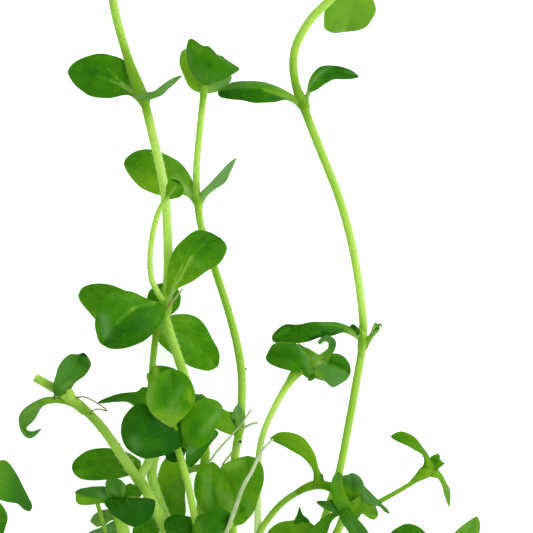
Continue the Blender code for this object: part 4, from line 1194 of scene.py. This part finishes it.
            [(430, 566), (416, 563), (402, 557), (390, 548)]),
        "tone": (0.65, 0.65)},
    "leaf_s_right": {"midrib": [(435.2, 564, 8), (452, 551, 10), (465, 536, 9), (476.6, 516.6, 5)],
        "margins": (
            [(447, 566), (462, 560), (474, 548), (479.4, 533), (480, 522)],
            [(438, 553), (445, 543), (454, 532.6), (462, 526), (469, 520.6)]),
        "tone": (0.35, 0.25), "edgeTone": (-0.2, 0), "bloom": (0, 0.3)},
}

# Small leaves and buds past the frame's parts
smallLeaves = {
    "a0_right": {"midrib": [(108.4, -24, 10.2), (122, -38, 13), (138, -44, 13)], "left": 3.6, "right": 3.6},
    "c0_back": {"midrib": [(346, -15, 13.2), (354, -30, 16), (364, -40, 17)], "left": 4, "right": 4},
    "f_tip": {"midrib": [(166, 199, 28.4), (170.6, 193.4, 29.8), (176, 186.6, 30.2), (180, 182.4, 29.6)],
        "margins": (
            [(170, 198.8), (174.5, 198.6), (179.5, 196.8), (182.6, 193.4), (184.2, 189.6), (183.4, 186)],
            [(165.4, 196), (166, 190.5), (166.4, 185.5), (168.4, 181), (172, 178.8), (176, 179.4)]),
        "lift": ((0, 0.2, 0.3), (0.2, 0.8, 0.5)), "tone": (0.3, 0.35, 0.45), "veins": 0, "mottle": 0.3,
        "baseHalfMm": 0.3,
        "strokes": [
            (172.8, 179.4, 179.4, 182.2, 0.8, 1.5), (169, 195.6, 176, 186, 0.9, -0.2, 0.1, 0.35),
            (178, 195, 182, 191, 3, 0.2)]},
    "b2_small": {"midrib": [(240.4, 431, 12.6), (239.6, 424, 13.6), (239, 416, 14.2), (238, 403.8, 14.6)],
        "margins": (
            [(243, 424), (245, 416), (242.6, 408.6)],
            [(235, 423), (230.6, 418), (232.6, 411.6), (235, 407)]),
        "tone": (-0.2, 0, 0.3), "bloom": (0.4, 0.5, 0.9), "veins": 1, "roundTip": False,
        "strokes": [(234, 420, 234.6, 421, 1.2, 2.2, -0.5), (232.6, 424, 233.4, 425, 1, 1.6, -0.5)]},
    "c2_bud": {"midrib": [(358.8, 334, 22.8), (356.4, 329.6, 24.4), (350.4, 326.2, 24.6)],
        "margins": (
            [(359.6, 331), (358, 328), (354.8, 324.6), (351.8, 324.3)],
            [(356.6, 333), (354.4, 330.2), (351.6, 327.6)]),
        "tone": (0.9, 1.1), "veins": 0, "mottle": 0.4},
    "c2_stub": {"midrib": [(362.6, 346, 21.4), (369, 338, 22.4), (374, 331, 23), (377.4, 324, 23.2)],
        "margins": (
            [(366, 351), (369.4, 344.4), (373, 338.4), (378, 332), (380, 328.4), (379.2, 325)],
            [(361.6, 340), (366.4, 337), (370, 333.6), (372.6, 326.4), (375.2, 322.2)]),
        "lift": ((0, 0.5, 0.6), (0.2, 0.7, 0.8)), "tone": (0.2, 0.1, 0.2), "bloom": (0, 0.1, 0.3),
        "roundTip": False, "veins": 0, "mottle": 0.6,
        "strokes": [
            (370, 334.4, 373.8, 330.2, 0.9, 0.6), (373.8, 330.2, 378.8, 328, 0.9, 0.9),
            (371.6, 332, 374.6, 326, 1.4, -0.1, 0.1, 0.5), (368, 344, 377, 332.6, 2.2, -0.3, 0, 0.3)]},
    "g_back": {"midrib": [(183, 438, 36.9), (187, 415, 36), (193, 402, 35.4), (204, 399, 34.6)],
        "margins": (
            [(190, 428), (197, 408), (203, 402)],
            [(178, 433), (175, 422), (184, 404), (191, 395), (196.6, 393.8), (201, 394.8)]),
        "tone": (0.6, 0.8), "bloom": (0, 0.4), "veins": 0, "mottle": 0.3},
    "e1_spur": {"midrib": [(55, 394.6, 18.6), (54.4, 397, 18.2), (54.8, 399.4, 17.6)], "left": 0.35,
        "right": 0.35, "baseHalfMm": 0.4, "tone": (0.9, 0.9), "bloom": (0.2, 0.3), "veins": 0},
    "d_back": {"midrib": [(313, 361, 19.5), (306, 352, 17.4), (298.4, 343.4, 17)],
        "margins": ([(318.8, 354.6), (314, 351.6), (306, 347.4)], [(308, 363), (302.6, 354), (299, 347.6)]),
        "tone": (0.1, 0.25), "bloom": (0, 0.3), "roundTip": False, "veins": 0, "mottle": 0.4,
        "strokes": [(311, 357, 304, 350, 2.4, -0.2, 0, 0.2)]},
    "d_hook": {"midrib": [(310, 371, 18.8), (314, 376, 19.2), (311.6, 379, 19.2), (307.6, 380, 18.8)],
        "left": 0.5, "right": 0.5, "tone": (0.7, 0.5), "baseHalfMm": 0.5},
    "d_bud": {"midrib": [
            (324, 358, 21.4), (331, 349, 23), (331, 341, 24), (325, 338, 24), (318.6, 343.4, 23.4)],
        "left": [1.6, 1, 1, 0.9, 0.5], "right": [1.6, 1.1, 1.2, 0.9, 0.5], "tone": (0.3, 0.75, 0.6),
        "bloom": (0.1, 0.2, 0.5)},
    "g_lower": {"midrib": [
            (179, 440, 36.6), (187, 443, 35.8), (193, 450, 34), (193, 457, 32), (189.6, 466.8, 30)],
        "margins": (
            [(184, 436), (196, 430), (212, 428), (219.8, 432), (214, 440), (208.6, 447), (200, 458.6),
                (194.4, 464.8)],
            [(181, 444), (185, 450), (185.6, 458), (186.6, 464)]),
        "tone": (0.45, 0.75, 0.85), "veins": 0, "mottle": 0.5,
        "strokes": [
            # the strokes paint a bluish highlight near the right margin and pale streaks of sheen near the
            # base
            (213, 437, 217, 431, 2.4, 0, 0.5), (187, 453, 189.6, 446, 0.9, -0.1, 0.6, 0.1),
            (190.4, 453, 193, 447, 0.9, -0.1, 0.6, 0.1), (193.6, 451, 195, 448, 0.9, -0.1, 0.5, 0.1)]},
    "g_small": {"midrib": [(182, 440, 34), (179, 448, 33.4), (174, 455, 33), (166, 458, 32.4)],
        "margins": (
            [(186, 444), (185.6, 452), (183, 459), (176, 462), (169, 461)],
            [(177, 442), (172, 448), (166, 452)]),
        "tone": (1, 1.1), "mottle": 0.3},
    "h_top": {"midrib": [(120, 500, 19.4), (119, 494, 21), (116, 487, 22), (112, 478.6, 22)],
        "margins": (
            [(125, 498), (127.4, 489), (123.6, 482), (118, 478.6)],
            [(112, 499), (106, 494), (105, 486), (106.6, 480)]),
        "tone": (0.55, 0.7), "bloom": (0.1, 0.2), "veins": 0, "mottle": 0.3,
        "strokes": [(112, 490, 117, 494, 2.4, -0.25, 0.4), (123.4, 486, 123.4, 497, 1.8, -0.45, 0, 0.15)]},
    "h_top_right": {"midrib": [(123, 500, 19.4), (128, 495.6, 20.6), (133, 490.6, 21), (137.4, 487, 20.4)],
        "margins": ([(130, 500), (139.6, 498), (141.6, 493)], [(122, 495), (125, 486.6), (131, 483.4)]),
        "tone": (0.55, 0.7), "veins": 0, "mottle": 0.3,
        "strokes": [(130, 497.4, 140, 497.6, 1.3, -0.9, 0, 0.3)]},
    "h_low": {"midrib": [(117, 519, 14), (108, 517, 13.4), (100, 517, 13), (90.6, 521, 12)],
        "margins": (
            [(117, 513), (109, 509), (99, 511.4), (92.6, 516)],
            [(116, 523), (112, 520), (105, 525), (98, 527), (93, 524)]),
        "tone": (0.05, 0.2), "bloom": (0.3, 0.6),
        "strokes": [(98, 512, 101, 524, 1.2, -0.2, 0.3, 0.1), (104, 512, 105.6, 522, 1, -0.2, 0.3, 0.1)],
        "mottle": 0.5},
    "h_far": {"midrib": [(122, 531, 14), (112, 531, 13), (100, 533, 12), (86, 538, 10)],
        "margins": (
            [(122, 522), (114, 521), (103, 526.4), (94, 529.6), (88, 533)],
            [(120, 540), (108, 544), (94, 545)]),
        "tone": (0.45, 0.6), "bloom": (0.4, 0.5),
        "strokes": [(100, 529, 113, 525.6, 1.2, -0.2, 0.4), (105, 532, 116, 528.6, 1, -0.2, 0.4)]},
    "e3_low": {"midrib": [(165, 511, 8.4), (153, 519, 8), (143, 526, 7.4), (134, 536, 6)],
        "margins": ([(160, 506), (148, 512), (138, 520), (133, 528)], [(168, 518), (160, 532), (146, 540)]),
        "tone": (0.35, 0.5), "veins": 1},
    "y_left": {"midrib": [(198, 546, 17), (188, 533, 18), (178, 525, 18), (166, 519, 17)],
        "margins": (
            [(200, 530), (196, 519), (184, 515), (174, 514.6)],
            [(190, 548), (176, 542), (167, 534), (164, 526)]),
        "tone": (0.85, 0.9)},
    "j_body": {"midrib": [(349, 511, 26.4), (341, 499, 28), (338, 487, 28), (338.6, 472.2, 26.4)],
        "margins": (
            [(355, 508), (349, 500), (345, 492), (343, 484), (343, 475)],
            [(341, 514), (334, 504), (331.4, 492), (331, 482), (334, 475)]),
        "tone": (0.4, 0.3, 0.3, 0.45), "sideTone": (0, 0.15), "bloom": (0.1, 0, 0.2), "mottle": 0.4,
        "veins": 0},
    "j_left": {"midrib": [(346, 506, 24.6), (336, 506, 26.2), (325, 504, 26.5), (316.5, 502, 25)],
        "margins": (
            [(342, 498), (334, 498.6), (326, 500.6), (320, 500.6)],
            [(342, 514), (334, 512.6), (326, 510), (319, 505)]),
        "tone": (0.7, 0.8), "bloom": (0.1, 0.1), "mottle": 0.4, "veins": 0},
    "j_bright": {"midrib": [(356, 520, 23.6), (354, 511, 25), (359, 503, 25.8), (364, 496, 26)],
        "margins": (
            [(360, 516), (364, 509), (370, 502), (368, 497)],
            [(350, 514), (347, 507), (352, 501), (359, 496)]),
        "tone": (0.25, 0.1, 0.3), "sideTone": (0.2, 0), "bloom": (0.1, 0, 0.2), "mottle": 0.4, "veins": 0},
    "j_tip": {"midrib": [(362, 488, 26.8), (367, 495, 26.6), (373, 501, 26), (381, 504.6, 24.4)],
        "left": [1, 1.3, 1.3, 0.5], "right": [1, 1.6, 1.1, 0.5], "tone": (0.65, 0.65), "bloom": (0.5, 0.3),
        "mottle": 0.4, "veins": 0},
    "j_right": {"midrib": [(356, 507, 24), (364, 510, 22.4), (370, 512, 21), (378, 513.6, 19.5)],
        "margins": (
            [(357, 513.6), (364, 514.6), (369, 518.4), (374, 519.6), (377.4, 517)],
            [(357, 503), (366, 503), (374, 505), (377, 509)]),
        "tone": (0.2, 0.2), "bloom": (0.2, 0), "edgeBloom": (0, 0.8), "mottle": 0.4, "veins": 0},
    "j_thin": {"midrib": [(376, 502, 25.4), (381, 505.6, 24.4), (385, 509.4, 23.4), (389.4, 513.4, 22.4)],
        "left": 0.55, "right": 0.55, "tone": (0.7, 0.7), "bloom": (0.2, 0.4), "mottle": 0.4, "veins": 0},
    "j_low": {"midrib": [(341, 512, 23), (331, 518, 22), (324, 527, 20), (312, 542, 16)],
        "margins": (
            [(346, 514), (338, 516), (331.6, 521), (328.6, 528), (324, 540)],
            [(338, 509), (328, 515), (320, 520.6), (312, 527), (306, 536)]),
        "tone": (0.5, 0.5), "mottle": 0.4, "veins": 0},
    "q_small": {"midrib": [(305, 534, 11.6), (302, 521, 13.4), (299.5, 507, 14)],
        "margins": ([(314, 532), (309, 520), (303, 515)], [(296, 532), (294, 522), (297, 514)]),
        "tone": (0.75, 0.9), "roundTip": False, "mottle": 0.4, "veins": 0},
    "m2_right": {"midrib": [(153, 383, 17.5), (160, 374, 18.6), (169, 371, 18.6), (181, 374, 17)],
        "margins": (
            [(158, 386), (168, 384), (178, 380)],
            [(149.4, 380), (151, 371), (154, 366), (160, 365.4), (169, 366.6), (176, 369.6)]),
        "tone": (0.4, 0.6, 0.7), "veins": 0, "mottle": 0.5,
        "strokes": [(155.4, 368, 157, 381, 3.4, -0.6, 0, 0.1), (175, 370, 180, 373, 2, 0, 0.4)]},
    "m2_small": {"midrib": [(153, 386, 17.6), (150.5, 379, 18.2), (147.5, 373.4, 18)], "left": 0.9,
        "right": 0.9, "tone": (0.2, 0.3)},
    "k_bud": {"midrib": [(433, 468, 18), (436, 460, 19), (438, 453.6, 19)],
        "margins": ([(438, 466), (440, 460), (440, 456)], [(429, 463), (430.6, 456.6), (434, 455)]),
        "tone": (0.35, 0.4), "roundTip": False, "mottle": 0.4, "veins": 0,
        "strokes": [(434, 459, 437, 463, 2.4, 0.35)]},
    "k_small": {"midrib": [(434, 468, 18), (439, 465, 18.6), (444.6, 463.4, 18)],
        "margins": ([(437, 471), (440, 467.6), (442.6, 465.4)], [(434, 462), (439, 458.6), (442, 461)]),
        "tone": (0.35, 0.4), "roundTip": False, "mottle": 0.4, "veins": 0},
    "n_tip": {"midrib": [(159.6, 453, 12), (168, 447, 13.4), (177, 441, 13)], "left": 2.2, "right": 2.2,
        "tone": (0.6, 0.7)},
    "i_right": {"midrib": [(317, 482, 19.4), (320, 478, 20.4), (322, 474, 20.6)], "left": 0.9, "right": 0.9,
        "tone": (0.6, 0.7), "bloom": (0.3, 0.3)},
}

# Thin stems and the swollen sheaths at the nodes
sheathForm = {"hairs": 0.5, "swell": 0.0, "ringMm": 0.8, "nodeToneMm": 1.6}
smallStems = {
    "h_side_stem": {"route": [
            (122, 572, 9), (110, 545, 11), (104, 526, 13), (100, 512, 15), (96, 499, 17.4)],
        "radii": [0.68, 0.66, 0.62], "tone": (0.5, 0.45), "hairs": 0.3},
    "a1_sheath": {**sheathForm,
        "route": [(125, 50, 12.8), (131, 68, 14), (136.4, 82, 15), (141.6, 95, 16), (147, 107, 16.8)],
        "radii": [1, 1.4, 1.62, 1.75, 1.5], "tone": (0.5, 0.85, 0.95, 1, 0.9)},
    "c1_sheath": {**sheathForm,
        "route": [
            (294.6, 78, 13.8), (297.8, 91, 14.4), (301.2, 99, 14.8), (304.8, 106, 15), (307.6, 113, 15)],
        "radii": [0.9, 1.15, 1.45, 1.5, 1.1], "tone": (0.4, 0.8, 0.6, 0.2), "nodes": [(304.4, 105, 15)]},
    "c2_sheath": {**sheathForm,
        "route": [(362, 322, 21.4), (363, 334, 21.6), (362.6, 342, 21.6), (361, 358, 21.2)],
        "radii": [0.9, 1.25, 1.4, 0.9], "tone": (0, 0.3, 0.4), "nodes": [(363, 340, 21.6)]},
    "b1_sheath": {**sheathForm,
        "route": [(196.4, 184, 13.2), (197, 196, 13.6), (198.6, 204, 13.6), (200, 214, 13.6)],
        "radii": [0.75, 1.15, 1.3, 0.8], "tone": (0.4, 0.35, 0.1, 0), "nodes": [(198.2, 201, 13.8)]},
    "d_node": {**sheathForm,
        "route": [(286, 388, 16.2), (292, 378, 17), (298, 371, 17.6), (307, 364, 18.6)],
        "radii": [0.8, 1.3, 1.6, 0.9], "tone": (-0.2, 0.1, 0.4, 0.2), "nodes": [(296, 372.4, 17.4)]},
    "e1_node": {**sheathForm,
        "route": [
            (92, 417, 17.4), (80, 406.4, 17.5), (70.6, 398.4, 17.6), (60, 391.6, 17.2), (50, 386, 16.6)],
        "radii": [0.9, 1.4, 1.6, 1.35, 0.9], "tone": (0.6, 0.5, 0.25, 0.05, 0.1), "mottle": 0.35,
        "hairs": 0.4},
    "e1_sheath": {**sheathForm, "route": [(76, 404.6, 17.2), (70.8, 396, 18.2), (68.6, 388, 19.4)],
        "radii": [0.9, 1.4, 1], "tone": (0.2, 0.1, 0.2), "mottle": 0.35, "hairs": 0.4},
    "i_node": {**sheathForm, "skin": "leaf",
        "route": [
            (296, 493, 16.8), (306, 487.4, 18), (316, 484.6, 18.9), (326, 485.6, 20), (336, 489, 21.4)],
        "radii": [0.9, 1.05, 1.35, 1.3, 1.5], "tone": (0.15, 0.25), "hairs": 0},
    "i_leaf_base": {**sheathForm, "skin": "leaf",
        "route": [(317.6, 488, 18.6), (317.4, 479, 20), (316.6, 470, 21.4)], "radii": [1.8, 1.15, 0.85],
        "tone": (0.2, 0.1), "hairs": 0},
    "k_node": {**sheathForm, "skin": "leaf",
        "route": [(410, 483.6, 19.4), (418, 477.6, 18.4), (425, 472, 17.9), (431, 467, 17.8)],
        "radii": [0.6, 1.05, 1.85, 1.5], "tone": (0.1, 0.15), "hairs": 0},
    "k_leaf_base": {**sheathForm, "skin": "leaf",
        "route": [(427, 469, 17.4), (433, 473, 16.8), (438.6, 477, 15)], "radii": [1.6, 1.25, 0.5],
        "tone": (0.15, 0.1), "hairs": 0},
    "k_top_base": {**sheathForm, "skin": "leaf",
        "route": [(428, 470, 17.6), (427, 462, 18.8), (426.4, 455, 20)], "radii": [1.6, 0.95, 0.4],
        "tone": (0.15, 0.15), "hairs": 0},
    "g_node": {**sheathForm, "skin": "leaf",
        "route": [(177, 445, 35.6), (178, 436, 37), (176.4, 430, 38.6), (173.4, 425, 40.6)],
        "radii": [0.9, 1, 0.7, 0.5], "tone": (0.25, 0.2), "hairs": 0},
    "j_node": {**sheathForm, "skin": "leaf", "route": [(345, 514, 22), (350, 505, 24.2), (360, 502, 24.4)],
        "radii": [1.1, 1.8, 1], "tone": (0.5, 0.5), "hairs": 0},
    "a2_sheath": {**sheathForm, "route": [(167.4, 316, 24), (166.8, 305, 24.6), (167.2, 292, 24.6)],
        "radii": [1, 1.6, 1], "tone": (0.5, 0.4, 0.3), "nodes": [(167, 304, 24.5)]},
    "p_node": {**sheathForm, "route": [(225, 530, 15.4), (228, 525.6, 17), (233, 522, 17.4)],
        "radii": [0.95, 1.2, 0.8], "tone": (0.3, 0.2), "hairs": 0},
}

# Dry threads and stubs: route, radii in mm
dryThreads = {
    "dry_thread": {"route": [
            (273, 439, 20.8), (262, 450.6, 22.5), (252, 471, 25), (245, 483, 26.6), (240.6, 493, 28),
            (236, 506, 29), (231.8, 518, 29.6), (226, 533, 30), (221, 547, 29)],
        "radii": [0.3, 0.42, 0.54, 0.62, 0.67, 0.66, 0.54, 0.45], "skin": "dry"},
    "b2_thread": {"route": [
            (251, 410, 15.2), (244, 420, 14.6), (237, 429, 13.1), (218, 450, 12.6), (210, 461, 11.6)],
        "radii": [0.3, 0.26, 0.26, 0.3, 0.26], "skin": "dry"},
    "b2_stub": {"route": [(241.6, 429, 12.7), (250, 424.5, 14.4), (258, 422.5, 15.2)],
        "radii": [0.46, 0.34, 0.28], "skin": "dry"},
    "b2_dry_tip": {"route": [(240, 442, 12.2), (233, 451, 12.1), (222, 465, 12.6)],
        "radii": [0.34, 0.28, 0.24], "skin": "tan"},
    "a2_stub": {"route": [(167.2, 308.4, 25.6), (174.9, 298.6, 26.8), (182.6, 288.8, 27.4)],
        "radii": [0.36, 0.3, 0.22], "skin": "tan"},
    "tendril": {"route": [
            (74, 399, 18.2), (80, 396.8, 19.2), (86, 397.4, 19.8), (97, 403, 20), (107, 410.5, 19.6),
            (98, 409, 20), (91.6, 411, 19.6), (90.5, 415, 19)],
        "radii": [0.24, 0.2, 0.19, 0.18, 0.18, 0.17, 0.17], "skin": "brown"},
    "c2_brown_tip": {"route": [(378.4, 323.6, 23.4), (380.4, 324.6, 23.4), (382, 326.6, 23.1)],
        "radii": [0.2, 0.34, 0.18], "skin": "brown"},
}
threadForm = {"sides": 8, "ringMm": 0.7, "hairs": 0, "swell": 0.0, "roundEnds": False}

# Fine roots along the base stem: start on the stem, end on the surface
rootForm = {
    "count": 14, "radiusMm": 0.22, "lengthMm": (5.0, 8.5),
    "turnDegrees": 55, "bend": 0.35,
    "startMm": 1.4, "steps": ((0.3, 1.0), (0.65, 0.4)),    # share of the length, height in mm
    "taper": (1, 0.8, 0.3), "tone": (0.5, 0.5), "skin": "root",
}


def makeRoots(form):
    route = stemShapes["base_stem"]["route"]
    for number in range(form["count"]):
        share = (number + 0.5) / form["count"]
        along = share * (len(route) - 1)
        first, second = route[int(along)], route[min(int(along) + 1, len(route) - 1)]
        px = blend(first[0], second[0], along % 1)
        py = blend(first[1], second[1], along % 1)
        reach = chance.uniform(*form["lengthMm"]) / view["pixelMm"]
        angle = math.radians(90 + chance.uniform(-form["turnDegrees"], form["turnDegrees"]))
        bend = chance.uniform(-form["bend"], form["bend"])
        places = [(px, py, form["startMm"])]
        for step, height in (*form["steps"], (1.0, form["radiusMm"])):
            turned = angle + bend * step
            places.append((
                px + reach * step * math.cos(turned),
                py + reach * step * math.sin(turned),
                height))
        radii = [form["radiusMm"] * share for share in form["taper"]]
        makeStem(f"root_{number + 1}", {
            **threadForm, "route": places, "radii": radii, "tone": form["tone"], "skin": form["skin"]})


# Dark specks: place, radius in mm, stretch
darkSpecks = {
    "dark_dot": ((245.6, 369, 13.3), 0.36, (1.0, 0.9, 0.9)),
    "dark_tip": ((240.5, 441.6, 12.4), 0.5, (1.0, 0.8, 0.7)),
}


def makeSpeck(name, place, radiusMm, stretch):
    mesh = bmesh.new()
    bmesh.ops.create_icosphere(mesh, subdivisions=2, radius=radiusMm * mm)
    bmesh.ops.scale(mesh, vec=stretch, verts=mesh.verts)
    bmesh.ops.translate(mesh, vec=at(*place), verts=mesh.verts)
    finishPiece(name, mesh, ["black"], [])


for node, shape in stemShapes.items():
    makeStem(node + "_skin", shape, node)
for name, shape in smallStems.items():
    makeStem(name, shape)
print("stems made")
for node, shape in leafShapes.items():
    makeLeaf(node + "_blade", shape, node)
for name, shape in smallLeaves.items():
    makeLeaf(name + "_leaf", shape)
print("leaves made")
for name, shape in dryThreads.items():
    makeStem(name, {**threadForm, **shape})
makeRoots(rootForm)
for name, speck in darkSpecks.items():
    makeSpeck(name, *speck)
print("small pieces made")

studio = {
    "floor": (0.86, 0.87, 0.86, 1.0), "floorM": 3.0, "floorRoughness": 0.9, "floorGlow": 0.6,
    "light": (1, 1, 1, 1), "skyStrength": 0.72,
    "keyWatt": 3.2, "keySizeM": 0.6, "keyPlace": (0.50, 0.10, 0.72),
}


def makeStudio():
    mesh = bmesh.new()
    bmesh.ops.create_grid(mesh, x_segments=1, y_segments=1, size=studio["floorM"])
    data = bpy.data.meshes.new("floor")
    mesh.to_mesh(data)
    mesh.free()
    paper, _tree, sheet = newSkin("paleFloor")
    sheet.inputs["Base Color"].default_value = studio["floor"]
    sheet.inputs["Roughness"].default_value = studio["floorRoughness"]
    sheet.inputs["Emission Color"].default_value = studio["light"]
    sheet.inputs["Emission Strength"].default_value = studio["floorGlow"]
    data.materials.append(paper)
    floor = bpy.data.objects.new("floor", data)
    bpy.context.scene.collection.objects.link(floor)
    world = bpy.data.worlds.new("studio")
    world.use_nodes = True
    sky = world.node_tree.nodes["Background"]
    sky.inputs["Color"].default_value = studio["light"]
    sky.inputs["Strength"].default_value = studio["skyStrength"]
    bpy.context.scene.world = world
    lamp = bpy.data.lights.new("softKey", "AREA")
    lamp.energy = studio["keyWatt"]
    lamp.size = studio["keySizeM"]
    key = bpy.data.objects.new("softKey", lamp)
    key.location = studio["keyPlace"]
    key.rotation_euler = (-key.location).to_track_quat("-Z", "Y").to_euler()
    bpy.context.scene.collection.objects.link(key)
    bpy.context.scene.view_settings.view_transform = "Standard"


def makeCamera():
    lens = bpy.data.cameras.new("camera")
    lens.sensor_width = view["sensorMm"]
    lens.lens = view["sensorMm"] * meanDistance / (view["picturePx"] * view["pixelMm"] * mm)
    camera = bpy.data.objects.new("camera", lens)
    camera.location = eye
    bpy.context.scene.collection.objects.link(camera)
    bpy.context.scene.camera = camera


makeStudio()
makeCamera()
print("studio made")
